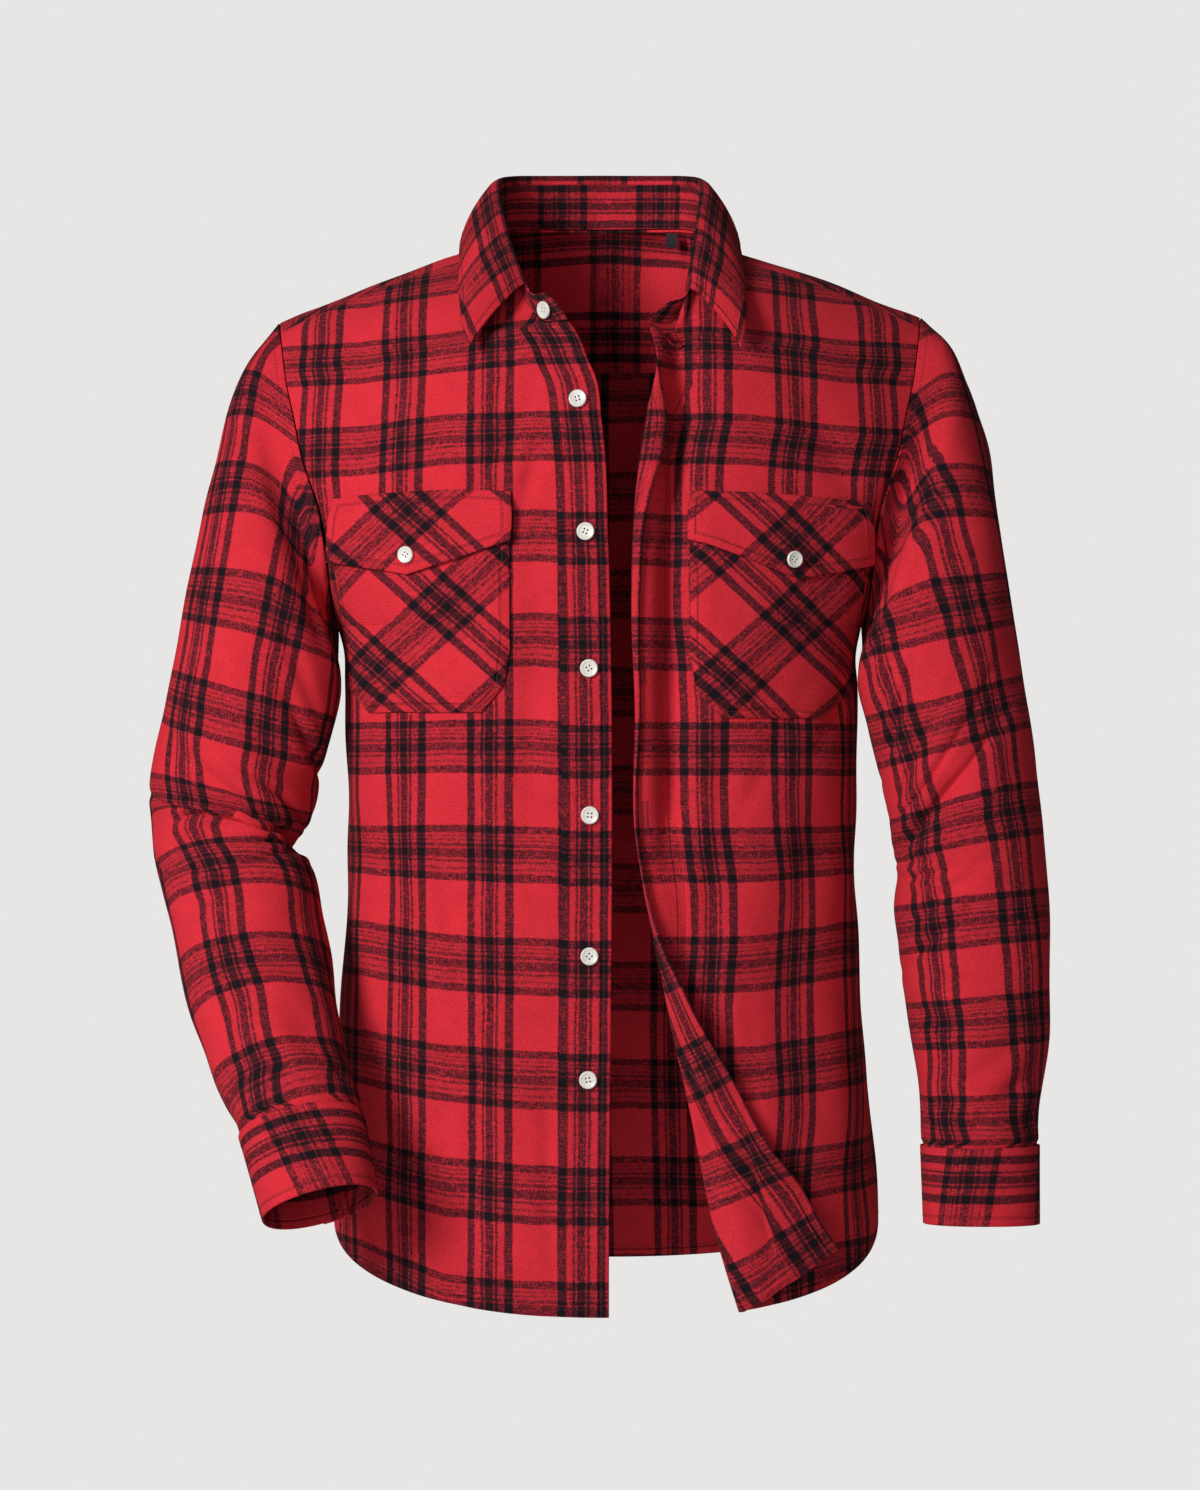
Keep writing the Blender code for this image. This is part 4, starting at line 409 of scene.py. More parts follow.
# ---- surfaces ----
def unit(vectors):
    """Vectors at length one."""
    return vectors / np.maximum(np.linalg.norm(vectors, axis=-1, keepdims=True), 1e-12)


def normals_of(net, closed=False):
    """Normal at each point of a net, also where its last column lies on its first."""
    if not closed:
        return unit(np.cross(np.gradient(net, axis=1), np.gradient(net, axis=0)))
    loops = net[:, :-1]
    across = np.roll(loops, -1, axis=1) - np.roll(loops, 1, axis=1)
    face = unit(np.cross(across, np.gradient(loops, axis=0)))
    return np.concatenate([face, face[:, :1]], axis=1)


def armhole(side, turn):
    """Points of one armhole."""
    points = read(ARMHOLE, "turn", np.mod(turn, 360.0), "x", "y", "z")
    if side == LEFT:
        points[..., 2] += LEFT_SHOULDER_LIFT * np.clip((points[..., 2] - ARMPIT) / (-0.06 - ARMPIT), 0, 1)
    return points * (side, 1, 1)


def neck_line(side, way, line=""):
    """Points of the neckline, the collar's fold ("fold_") or its free edge ("edge_")."""
    way = np.asarray(way, float)
    points = read(NECK, "way", way, line + "x", line + "y", line + "z")
    if side == LEFT:
        further = read(LEFT_NECK, "way", way, line + "x", line + "z")
        points = points + np.stack([further[..., 0], 0 * way, further[..., 1]], axis=-1)
    return points * (side, 1, 1)


def row_curve(outer, inner, across, deep, rise, z_power):
    """One row of a panel, evenly spaced: bulged like a superellipse between its outer and inner ends."""
    sweep = np.linspace(0, math.pi / 2, 4 * DENSE_COLUMNS)
    s = 1 - np.cos(sweep) ** (2 / across)
    s[-1] = 1.0
    f = np.sin(sweep) ** (2 / deep)
    points = np.empty((len(s), 3))
    points[:, 0] = outer[0] + (inner[0] - outer[0]) * s
    points[:, 1] = outer[1] + (inner[1] - outer[1]) * f
    reach = lengths_along(points[:, :2], 0)
    part = reach / reach[-1]
    points[:, 2] = outer[2] + (inner[2] - outer[2]) * (1 - (1 - part) ** z_power)
    points[:, 2] += rise * 4 * s * (1 - s)
    return points


def even(points, count):
    """A line of points spaced evenly along its length, and that length."""
    reach = lengths_along(points, 0)
    return on_line(points, reach, np.linspace(0, reach[-1], count)), reach[-1]


def pressed(points, normals, folds):
    """Points moved in by the table's soft troughs and out by its ridges."""
    depth = np.zeros(points.shape[:-1])
    for k in range(len(folds["x"])):
        dz = points[..., 2] - folds["z"][k]
        dx = points[..., 0] - folds["x"][k] - folds["lean"][k] * dz
        depth += folds["depth"][k] * np.exp(-(dx / folds["wide"][k]) ** 2 - (dz / folds["tall"][k]) ** 2)
    return points - normals * depth[..., None]


def height_power(row):
    """How the hem's curve fades to level rows above it."""
    return 1 + 1.4 * np.clip(1 - row / 0.5, 0, 1)


def outer_end(side, row, turn):
    """Outer end of a panel's row: on the side seam, or above the armpit on the armhole."""
    if row > 1:
        return armhole(side, turn)
    z = SIDE_FOOT + (ARMPIT - SIDE_FOOT) * row
    return np.array([side * float(smooth(z, TORSO["z"], TORSO[dict(SIDES)[side]])), 0.0, z])


class Front:
    """Surface of one front: rows from side seam or armhole to the front edge or its fold."""

    def __init__(self, side):
        self.side = side
        self.rows = np.linspace(0, 2, DENSE_ROWS)
        lines, lengths = zip(*(even(self.trimmed(row), DENSE_COLUMNS) for row in self.rows))
        flat, self.lengths = np.array(lines), np.array(lengths)
        self.normals = normals_of(flat) * -side
        self.points = pressed(flat, self.normals, FRONT_FOLDS[side])
        self.points = rippled(pressed(self.points, self.normals, FRONT_CREASES[side]))
        self.normals = normals_of(self.points) * -side

    def trimmed(self, row):
        """One row, cut off at the front edge or the fold."""
        turn, across, deep, rise = read(ROWS, "row", row, "turn_front", "across", "deep", "rise")
        if row < NECK_ROW:
            z = float(np.interp(row, ROWS["row"], ROWS["front_z"]))
            if self.side == LEFT:
                z += LEFT_NECK["z"][0] * np.clip((row - 1.25) / 0.5, 0, 1)
            edge = RIGHT_EDGE if self.side == RIGHT else LEFT_REACH
            inner = np.array([float(smooth(z, edge["z"], edge["x"])),
                              -float(smooth(z, TORSO["z"], TORSO["front"])), z])
        else:
            inner = neck_line(self.side, float(np.interp(row, (NECK_ROW, 2.0), (0, FRONT_YOKE_WAY))))
        line = row_curve(outer_end(self.side, row, turn), inner, across, deep, rise, height_power(row))
        if self.side == RIGHT or row >= NECK_ROW:
            return line
        fold_x = smooth(line[:, 2], LEFT_FOLD["z"], LEFT_FOLD["x"])
        past = line[:, 0] < fold_x
        if not past.any():
            return line
        k = int(np.argmax(past))
        before, after = line[k - 1, 0] - fold_x[k - 1], line[k, 0] - fold_x[k]
        cut = line[k - 1] + (line[k] - line[k - 1]) * before / (before - after)
        return np.vstack([line[:k], cut])

    def at(self, row, inset):
        """Point and normal at a row and a distance in from the front edge or fold."""
        row, inset = np.broadcast_arrays(np.asarray(row, float), np.asarray(inset, float))
        r = np.clip(row / 2, 0, 1) * (DENSE_ROWS - 1)
        length = np.interp(np.clip(row, 0, 2), self.rows, self.lengths)
        c = np.clip(1 - inset / length, 0, 1) * (DENSE_COLUMNS - 1)
        i = np.minimum(r.astype(int), DENSE_ROWS - 2)
        j = np.minimum(c.astype(int), DENSE_COLUMNS - 2)
        fr, fc = (r - i)[..., None], (c - j)[..., None]

        def mix(net):
            """Between the four nearest points of a net."""
            return ((net[i, j] * (1 - fc) + net[i, j + 1] * fc) * (1 - fr)
                    + (net[i + 1, j] * (1 - fc) + net[i + 1, j + 1] * fc) * fr)

        return mix(self.points), unit(mix(self.normals))

    def length_at(self, row):
        """Length of a row."""
        return np.interp(row, self.rows, self.lengths)

    def over(self, x, z, lift):
        """Points above this front at places x, z, lifted along the normal."""
        x, z, lift = np.broadcast_arrays(np.asarray(x, float), np.asarray(z, float), lift)
        flat_x, flat_z = x.ravel() * self.side, z.ravel()
        lines = np.empty((DENSE_ROWS, len(flat_x), 6))
        places = np.arange(DENSE_COLUMNS)[::-1]
        for i in range(DENSE_ROWS):
            column = np.interp(flat_x, self.points[i, ::-1, 0] * self.side, places)
            j = np.minimum(column.astype(int), DENSE_COLUMNS - 2)
            f = (column - j)[:, None]
            line = np.concatenate([self.points[i], self.normals[i]], axis=-1)
            lines[i] = line[j] * (1 - f) + line[j + 1] * f
        heights = lines[:, :, 2]
        i = np.clip((heights <= flat_z).sum(axis=0) - 1, 0, DENSE_ROWS - 2)
        n = np.arange(len(flat_x))
        low, high = heights[i, n], heights[i + 1, n]
        f = np.clip((flat_z - low) / (high - low), 0, 1)[:, None]
        spot = lines[i, n] * (1 - f) + lines[i + 1, n] * f
        return (spot[:, :3] + unit(spot[:, 3:]) * lift.reshape(-1, 1)).reshape(x.shape + (3,))

    def fold(self, row, column):
        """A size of the turned-back edge at a row."""
        spot, _ = self.at(row, 0.0)
        return smooth(spot[..., 2], LEFT_FOLD["z"], LEFT_FOLD[column])

    def turned(self, row, past):
        """Point of the left front's cloth a distance past the fold: round the roll, then beyond it."""
        row, past = np.broadcast_arrays(np.asarray(row, float), np.asarray(past, float))
        spot, normal = self.at(row, 0.0)
        below, above = np.maximum(row - 0.02, 0), np.minimum(row + 0.02, 2)
        climb = self.at(above, 0.0)[0] - self.at(below, 0.0)[0]
        along = unit(spot - self.at(row, 0.004)[0])
        up = unit(np.cross(normal, along))
        up = up * np.sign(up[..., 2:])
        lean = np.arctan2(-climb[..., 0], climb[..., 2])
        lean = (np.clip(lean, -0.1, 0.5) * np.clip((1.2 - row) / 0.4, 0, 1))[..., None]
        total = np.radians(self.fold(row, "turn"))
        round_end = total * FOLD_RADIUS
        angle = (np.minimum(past, round_end) / FOLD_RADIUS)[..., None]
        rolled = spot + FOLD_RADIUS * (along * np.sin(angle) + normal * (1 - np.cos(angle)))
        flat = np.maximum(past - round_end, 0)
        turn = total[..., None]
        fold_way = up * np.cos(lean) + along * np.sin(lean)
        off_fold = along * np.cos(lean) - up * np.sin(lean)
        away = fold_way * np.sin(lean) + (off_fold * np.cos(turn) + normal * np.sin(turn)) * np.cos(lean)
        standing = rolled + away * flat[..., None]
        per_row = climb[..., 2] / (above - below)
        there, inset = row, flat
        for _ in range(6):
            base, _ = self.at(there, inset)
            there = there + (spot[..., 2] + flat * np.sin(2 * lean[..., 0]) - base[..., 2]) / per_row
            inset = inset + spot[..., 0] + flat * np.cos(2 * lean[..., 0]) - base[..., 0]
        base, face = self.at(there, inset)
        spring = FLAP_SPRING * flat + FLAP_LIP * np.minimum(flat, 0.012)
        laid = base + face * (2 * FOLD_RADIUS + spring)[..., None]
        down = eased((self.fold(row, "turn") - FLAP_DOWN[0]) / (FLAP_DOWN[1] - FLAP_DOWN[0]))
        down = (down * (flat > 0))[..., None]
        return standing * (1 - down) + laid * down


def back_rows(rows, columns):
    """Net of the back: columns run from the right side seam round the back to the left one."""
    net = []
    for row in rows:
        turn, z_mid, across, deep = read(ROWS, "row", row, "turn_back", "back_z", "across", "deep")
        if row <= 1:
            z_mid = np.interp(row, (0, 1), (ROWS["back_z"][0], ARMPIT))
        inner = np.array([0.0, float(smooth(z_mid, TORSO["z"], TORSO["back"])), z_mid])
        right, left = (row_curve(outer_end(side, row, turn), inner, across, deep, 0.0, height_power(row))
                       for side, _ in SIDES)
        net.append(even(np.vstack([right, left[-2::-1]]), columns + 1)[0])
    net = np.array(net)
    return pressed(net, -normals_of(net), BACK_FOLDS)


# ---- cloth ----
def lengths_along(net, axis):
    """Distances along a line, or along every line of a net, from its first point."""
    steps = np.linalg.norm(np.diff(net, axis=axis), axis=-1)
    zero = np.zeros_like(np.take(steps, [0], axis=axis))
    return np.cumsum(np.concatenate([zero, steps], axis=axis), axis=axis)


def from_middle(net):
    """Distances across a net from its middle column."""
    across, middle = lengths_along(net, 1), net.shape[1] // 2
    return across - across[:, middle:middle + 1]


def lengths_across(net):
    """Distance of a sleeve's points from its first column, square to the way its grain runs."""
    centre = net.mean(axis=1)
    further = np.concatenate([centre[GRAIN_ROWS:], centre[-1:].repeat(GRAIN_ROWS, axis=0)])
    way = unit(further - centre + (0, 0, -1e-5))
    way[-GRAIN_ROWS - 1:] = way[-GRAIN_ROWS - 2]
    way[:CAP_GRAIN_ROWS] = way[CAP_GRAIN_ROWS]
    step = np.diff(net, axis=1)
    step = step - way[:, None] * (step * way[:, None]).sum(axis=-1, keepdims=True)
    return np.concatenate([np.zeros((len(net), 1)), np.cumsum(np.linalg.norm(step, axis=-1), axis=1)], axis=1)


def net_area(net):
    """Area of a net of points."""
    a, b = net[1:, 1:] - net[:-1, :-1], net[1:, :-1] - net[:-1, 1:]
    return float(np.linalg.norm(np.cross(a, b), axis=-1).sum() / 2)


def rim_of(net, edges):
    """Distance of every point from the nearest of the named edges of its net."""
    down, across = lengths_along(net, 0), lengths_along(net, 1)
    reach = {"first": down, "last": down[-1:] - down, "left": across, "right": across[:, -1:] - across}
    return np.min([reach[edge] for edge in edges], axis=0) if edges else np.full(net.shape[:2], 0.1)


def rippled(net, size=0.0004, closed=False):
    """A net with the shallow, uneven ripples of soft cloth, and none at its edges."""
    x, y, z = net[..., 0], net[..., 1], net[..., 2]
    wave = (np.sin(x / 0.0109 + 1.7 * np.sin(z / 0.031) + y / 0.024)
            + np.sin(z / 0.0146 + 1.3 * np.sin(x / 0.027 + 1.1) - y / 0.019)
            + 1.4 * np.sin((x - 0.8 * z) / 0.0212 + 1.9 * np.sin(y / 0.036 + z / 0.05)))
    edges = ("first", "last") if closed else ("first", "last", "left", "right")
    calm = np.clip(rim_of(net, edges) / 0.02, 0, 1)
    moved = net + normals_of(net, closed) * (wave * size * calm)[..., None]
    if closed:
        moved[:, -1] = moved[:, 0]
    return moved


def pulled_back(net, rows=(0.5, 0.5), columns=(0.5, 0.5)):
    """A net whose edges end short of the seam by shares of the seam gap."""
    net = net.copy()
    ends = [unit(net[1] - net[0]) * rows[0], unit(net[-2] - net[-1]) * rows[1],
            unit(net[:, 1] - net[:, 0]) * columns[0], unit(net[:, -2] - net[:, -1]) * columns[1]]
    for edge, end in zip((net[0], net[-1], net[:, 0], net[:, -1]), ends):
        edge += end * SEAM_GAP
    return net


def facing(net, centre, closed=False, rows=slice(None)):
    """Normals of a net that point away from a centre, and +1, or -1 if they had to be turned round."""
    face = normals_of(net, closed)
    sign = 1 if np.sum((face * (net - np.asarray(centre)))[rows]) > 0 else -1
    return face * sign, sign


def gridded(net):
    """A mesh grid whose points are those of a net."""
    rows, columns = net.shape[:2]
    mesh = bmesh.new()
    bmesh.ops.create_grid(mesh, x_segments=columns - 1, y_segments=rows - 1, size=0.5)
    data = bpy.data.meshes.new("grid")
    mesh.to_mesh(data)
    mesh.free()
    data.vertices.foreach_set("co", net.astype(np.float32).ravel())
    return data


def softened(piece, width, angle):
    """Rounds the edges of a piece that are sharper than an angle."""
    soft = piece.modifiers.new("soft edge", "BEVEL")
    soft.width, soft.segments, soft.limit_method, soft.angle_limit = width, 2, "ANGLE", math.radians(angle)


def cloth(name, net, check, sign, lines, thick=None, closed=False, rims=(),
          turned_in=0.0, pitch=None, holes=(), finish=None):
    """One sheet of cloth with its stitches: a grid with its check as a UV map, made a wall at the end."""
    stitches = [sew(name + "_stitches", lines, pitch)]
    if holes:
        stitches.append(sew("buttonholes", holes, HOLE_PITCH, True))
    data = gridded(net)
    data.uv_layers.new(name="cloth")
    corner = np.empty(len(data.loops), int)
    data.loops.foreach_get("vertex_index", corner)
    places = check.reshape(-1, 2)[corner].reshape(-1, 4, 2)
    # where the check starts anew between two columns, the face between them keeps to one side
    for near, far in ((1, 0), (2, 3)):
        jump = np.abs(places[:, near, 0] - places[:, far, 0]) > 0.015
        places[jump, far, 0] = places[jump, near, 0] - 0.001
    data.uv_layers["cloth"].data.foreach_set("uv", places.astype(np.float32).ravel())
    data.attributes.new("rim", "FLOAT", "POINT")
    data.attributes["rim"].data.foreach_set("value", rim_of(net, rims).astype(np.float32).ravel())
    mesh = bmesh.new()
    mesh.from_mesh(data)
    if closed:
        ends = [vert for vert in mesh.verts if vert.index % net.shape[1] in (0, net.shape[1] - 1)]
        bmesh.ops.remove_doubles(mesh, verts=ends, dist=1e-5)
    if sign < 0:
        bmesh.ops.reverse_faces(mesh, faces=mesh.faces[:])
    piece = shown(name + "_cloth", mesh, material(finish or check_flannel))
    thick = thick or settings().cloth_thickness
    wall = piece.modifiers.new("wall", "SOLIDIFY")
    wall.thickness, wall.offset = thick, 0.0
    softened(piece, thick * 0.3, 60)
    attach(piece, "root")
    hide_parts(name)
    width = float(lengths_along(net, 1)[:, -1].max())
    length = float(lengths_along(net, 0)[-1].max())
    area = net_area(net) * (1 + turned_in / length)


def shown(name, mesh, finish):
    """A mesh as a smooth object at the origin, with its material."""
    data = bpy.data.meshes.new(name)
    mesh.to_mesh(data)
    mesh.free()
    data.shade_smooth()
    data.materials.append(finish)
    piece = bpy.data.objects.new(name, data)
    bpy.context.scene.collection.objects.link(piece)
    return piece


# ---- sewing ----
def line_in(net, face, edge, inset, start, end):
    """Points and normals of a line that runs along one edge of a net, an inset in from it."""
    if edge in ("left", "right"):
        net, face = net.transpose(1, 0, 2), face.transpose(1, 0, 2)
    if edge in ("last", "right"):
        net, face = net[::-1], face[::-1]
    count = net.shape[1]
    part = slice(int(start * (count - 1)), int(end * (count - 1)) + 1)
    net, face = net[:, part], face[:, part]
    reach = lengths_along(net, 0)
    points, ways = (np.array([on_line(side[:, j], reach[:, j], inset) for j in range(net.shape[1])])
                    for side in (net, face))
    return points, unit(ways)


def sewn_lines(net, face, edges, inset, sides=(1,), thick=None):
    """Stitch lines along edges of a net, whole or in part, on its outer (1) or inner (-1) face."""
    lines = []
    for edge in edges:
        edge, start, end = (edge, 0, 1) if isinstance(edge, str) else edge
        points, ways = line_in(net, face, edge, inset, start, end)
        lines += [(points, ways * side, (thick or settings().cloth_thickness) / 2) for side in sides]
    return lines


def sew(name, lines, pitch=None, across=False):
    """Rows of short thread stitches, along or across lines of points and normals, each with its lift."""
    thread = settings().thread_radius
    pitch = pitch or settings().stitch_pitch
    turns = np.radians(np.arange(7) * 60.0)
    nets = []
    for points, ways, lift in lines:
        reach = lengths_along(points, 0)
        count = max(int(reach[-1] / pitch), 1)
        at = (np.arange(count) + 0.5) * reach[-1] / count
        spots, face = on_line(points, reach, at), unit(on_line(ways, reach, at))
        along = unit(on_line(points, reach, at + 0.001) - on_line(points, reach, at - 0.001))
        aside = unit(np.cross(face, along))
        if across:
            along, aside = aside, along
        half = HOLE_HALF if across else pitch * 0.38
        ring = aside[:, None] * np.cos(turns)[:, None] + face[:, None] * np.sin(turns)[:, None]
        rings = [(spots + face * lift + along * half * share)[:, None] + ring * thread * round_size
                 for share, round_size in STITCH_FORM]
        nets.append(np.stack(rings, axis=1).reshape(-1, 7, 3))
    data = gridded(np.concatenate(nets))
    mesh = bmesh.new()
    mesh.from_mesh(data)
    between = [face for face in mesh.faces if (face.index // 6) % 5 == 4]
    bmesh.ops.delete(mesh, geom=between, context="FACES_ONLY")
    bmesh.ops.remove_doubles(mesh, verts=mesh.verts[:], dist=1e-6)
    bmesh.ops.recalc_face_normals(mesh, faces=mesh.faces[:])
    piece = shown(name, mesh, material(sewing_thread))
    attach(piece, "root")
    return piece


# ---- the check at places on the pieces ----
def front_check_down(side, away, z):
    """How far down the cloth a height on a front lies, read from where the check's groups start."""
    columns, *heights = np.stack(list(CHECK_FRONT[side].values()), axis=1)
    away, z = np.broadcast_arrays(np.asarray(away, float), np.asarray(z, float))
    levels = np.array([np.interp(away, columns, row) for row in heights])
    k = np.clip((levels > z).sum(axis=0) - 1, 0, len(heights) - 2)
    upper, lower = np.take_along_axis(levels, k[None], 0)[0], np.take_along_axis(levels, k[None] + 1, 0)[0]
    return (k + (upper - z) / (upper - lower)) * CHECK_DOWN


# ---- fronts ----
@lru_cache
def front(side):
    """The surface of one front, worked out once."""
    return Front(side)


def seam_inset(surface, row):
    """Distance from the cloth's edge or the neckline to the placket's seam, at rows of a front."""
    row = np.asarray(row, float)
    width = PLACKET_WIDTH
    if surface.side == LEFT:
        width = surface.fold(np.minimum(row, NECK_ROW), "strip")
    return width * np.clip((SEAM_TOP_ROW - row) / (SEAM_TOP_ROW - NECK_ROW), 0, 1)


def cloth_columns(low, high, count, width, scale=1.0):
    """Distances from the cloth's edge, over a scale, closer together where the cloth rolls over its fold."""
    bend = math.pi * FOLD_RADIUS / scale
    fine = np.linspace(0, 1, 600)
    places = low + (high - low) * fine
    turning = np.clip((places - width + bend) / bend, 0, 1)
    weight = (places - low) / (high - low) * (count - ROLL_COLUMNS) + ROLL_COLUMNS * turning
    weight -= weight[0]
    return np.interp(np.linspace(0, weight[-1], count + 1), weight, places)


def left_cloth(surface, row, places):
    """Points of the left front at distances from its cloth's own edge, turned back past the fold."""
    row, places = np.broadcast_arrays(row, places)
    past = surface.fold(row, "width") - places
    laid, _ = surface.at(row, np.maximum(-past, 0))
    return np.where((past > 0)[..., None], surface.turned(row, np.maximum(past, 0)), laid)


def panel_rows(above):
    """Rows of a panel from its hem to its yoke seam, which is a length above the armpit."""
    return np.concatenate([np.linspace(0, 1, int(PANEL_SIDE / SPACING)),
                           np.linspace(1, 2, int(above / SPACING))[1:]])


def front_rows(top):
    """Rows of a front from the hem up to a row."""
    rows = panel_rows(FRONT_ABOVE)
    for kept in (NECK_ROW, SEAM_TOP_ROW, 2.0):
        rows = np.append(rows[np.abs(rows - kept) > 0.004], kept)
    rows.sort()
    return rows[rows <= top]


def check_of_left(surface, row, places):
    spot, _ = surface.at(row, 0.0)
    width = surface.fold(row, "width")
    laid, _ = surface.at(row, np.maximum(places - width, 0))
    curved = np.where(spot[..., 2] > LEFT_EDGE_BEND, np.maximum(spot[..., 0] - width - LEFT_EDGE_PLACE, 0), 0)
    outside = places + curved - LEFT_CHECK_START
    across = np.where(places < width, places - LEFT_TURNED_START, outside)
    away = np.maximum(laid[..., 0] - np.maximum(width - places, 0), 0.0)
    return np.stack([across, front_check_down(LEFT, away, laid[..., 2])], axis=-1)


def front_panel(side):
    """Net and check of a front beside its placket, hem to yoke seam."""
    surface = front(side)
    columns = int(0.27 / SPACING)
    lines, checks = [], []
    for row in front_rows(2.0):
        length = float(surface.length_at(row))
        inset = float(seam_inset(surface, row))
        if side == RIGHT or row > NECK_ROW:
            places = inset + (length - inset) * np.linspace(0, 1, columns + 1)
            line, _ = surface.at(row, places)
            end, _ = surface.at(row, 0.0)
            across = (RIGHT_CHECK_START - (places - end[0]) if side == RIGHT
                      else places + end[0] - LEFT_EDGE_PLACE - LEFT_CHECK_START)
            checks.append(np.stack([across, front_check_down(side, np.abs(line[:, 0]), line[:, 2])], axis=-1))
        else:
            width = float(surface.fold(row, "width"))
            places = cloth_columns(inset, length + width, columns, width)
            line = left_cloth(surface, row, places)
            checks.append(check_of_left(surface, np.full(len(places), row), places))
        lines.append(line)
    return np.array(lines), np.array(checks)


def front_placket(side):
    """Net and check of the placket that edges a front, from hem to collar stand."""
    surface = front(side)
    lines, checks = [], []
    for row in front_rows(SEAM_TOP_ROW):
        share = np.linspace(0, 1, 15)
        if side == LEFT:
            strip = float(surface.fold(row, "strip"))
            share = cloth_columns(0, 1, 20, float(surface.fold(row, "width")) / strip, strip)
        top = NECK_ROW + (SEAM_TOP_ROW - NECK_ROW) * share
        bent = 1.5 + (row - 1.5) * (top - 1.5) / (SEAM_TOP_ROW - 1.5)
        at_row = np.where(row > 1.5, bent, row)
        low_row = np.minimum(at_row, NECK_ROW)
        whole = seam_inset(surface, low_row)
        places = np.maximum(share * whole - (whole - seam_inset(surface, at_row)), 0)
        if side == RIGHT:
            line, _ = surface.at(at_row, places)
            across = PLACKET_CHECK_START - share * PLACKET_WIDTH
            down = front_check_down(side, 0.0, line[:, 2])
        else:
            laid = left_cloth(surface, low_row, places)
            line = np.where((at_row > NECK_ROW)[:, None], surface.at(at_row, places)[0], laid)
            across, down = check_of_left(surface, low_row, places).T
            outside = places >= surface.fold(low_row, "width")
            by_place = outside & (line[:, 2] > STRIP_BEND)
            across = np.where(by_place, line[:, 0] - LEFT_EDGE_PLACE - LEFT_CHECK_START, across)
            down = np.where(by_place, front_check_down(LEFT, line[:, 0], line[:, 2]), down)
        lines.append(line)
        checks.append(np.stack([across, down], axis=-1))
    return np.array(lines), np.array(checks)


def buttonholes(net, face):
    """Lines of the thread beads round the slits down the buttonhole placket."""
    middle = net.shape[1] // 2
    lines = []
    for height in BUTTON_HEIGHTS:
        k = int(np.argmin(np.abs(net[:, middle, 2] - height)))
        points, ways = net[max(k - 3, 0):k + 4, middle], face[max(k - 3, 0):k + 4, middle]
        aside = unit(np.cross(ways, np.gradient(points, axis=0)))
        for away in (-0.0014, 0.0014):
            for out in (1, -1):
                lines.append((points + aside * away, ways * out, CLOTH / 2))
    return lines


# ---- back and yoke ----
def back_check(net):
    start, top, repeat = BACK_CHECK
    return np.stack([from_middle(net) - start, (top - net[..., 2]) / repeat * CHECK_DOWN], axis=-1)


def yoke_net():
    """Net of the yoke over both shoulders: rows from its front seams to its back seam."""
    count, neck_count, deep = 49, 24, 61
    shoulder = np.linspace(1, 0, count)
    neck_ways = np.linspace(FRONT_YOKE_WAY, 1, neck_count + 1)[1:]
    down = np.linspace(0, 1, deep)
    halves = []
    for side, _ in SIDES:
        surface = front(side)
        seam, _ = surface.at(np.full(count, 2.0), shoulder * surface.length_at(2.0))
        top = np.vstack([seam, neck_line(side, neck_ways)])
        foot_line = back_rows([1.98, 2.0], 480)[1]
        foot_line = foot_line[:241] if side == RIGHT else foot_line[240:][::-1]
        wanted = np.concatenate([np.abs(seam[:, 0]),
                                 abs(seam[-1, 0]) * np.linspace(1 - 1 / neck_count, 0, neck_count)])
        foot = on_line(foot_line[::-1], np.abs(foot_line[::-1, 0]), wanted)
        foot[0] = armhole(side, BACK_YOKE_TURN)
        columns = []
        for j in range(len(top)):
            on_neck = max(j - count + 1, 0) / neck_count
            span = foot[j] - top[j]
            out_start = np.array([0, 0.95, 0.62 * (1 - on_neck) - 0.25 * on_neck])
            out_end = np.array([0, 0.10 + 0.1 * (1 - on_neck), 1.0])
            size = np.linalg.norm(span) * 0.42
            columns.append(bend(top[j], top[j] + out_start * size,
                                foot[j] + out_end * size * (0.75 - 0.25 * on_neck), foot[j], down[:, None]))
        turns = np.interp(down, (0, 1), (360 + FRONT_YOKE_TURN, BACK_YOKE_TURN))
        drift = armhole(side, turns) - columns[0]
        for j, column in enumerate(columns):
            column += drift * max(1 - j / (count * 0.714), 0) ** 2
        halves.append(np.array(columns))
    return np.vstack([halves[0], halves[1][-2::-1]]).transpose(1, 0, 2)


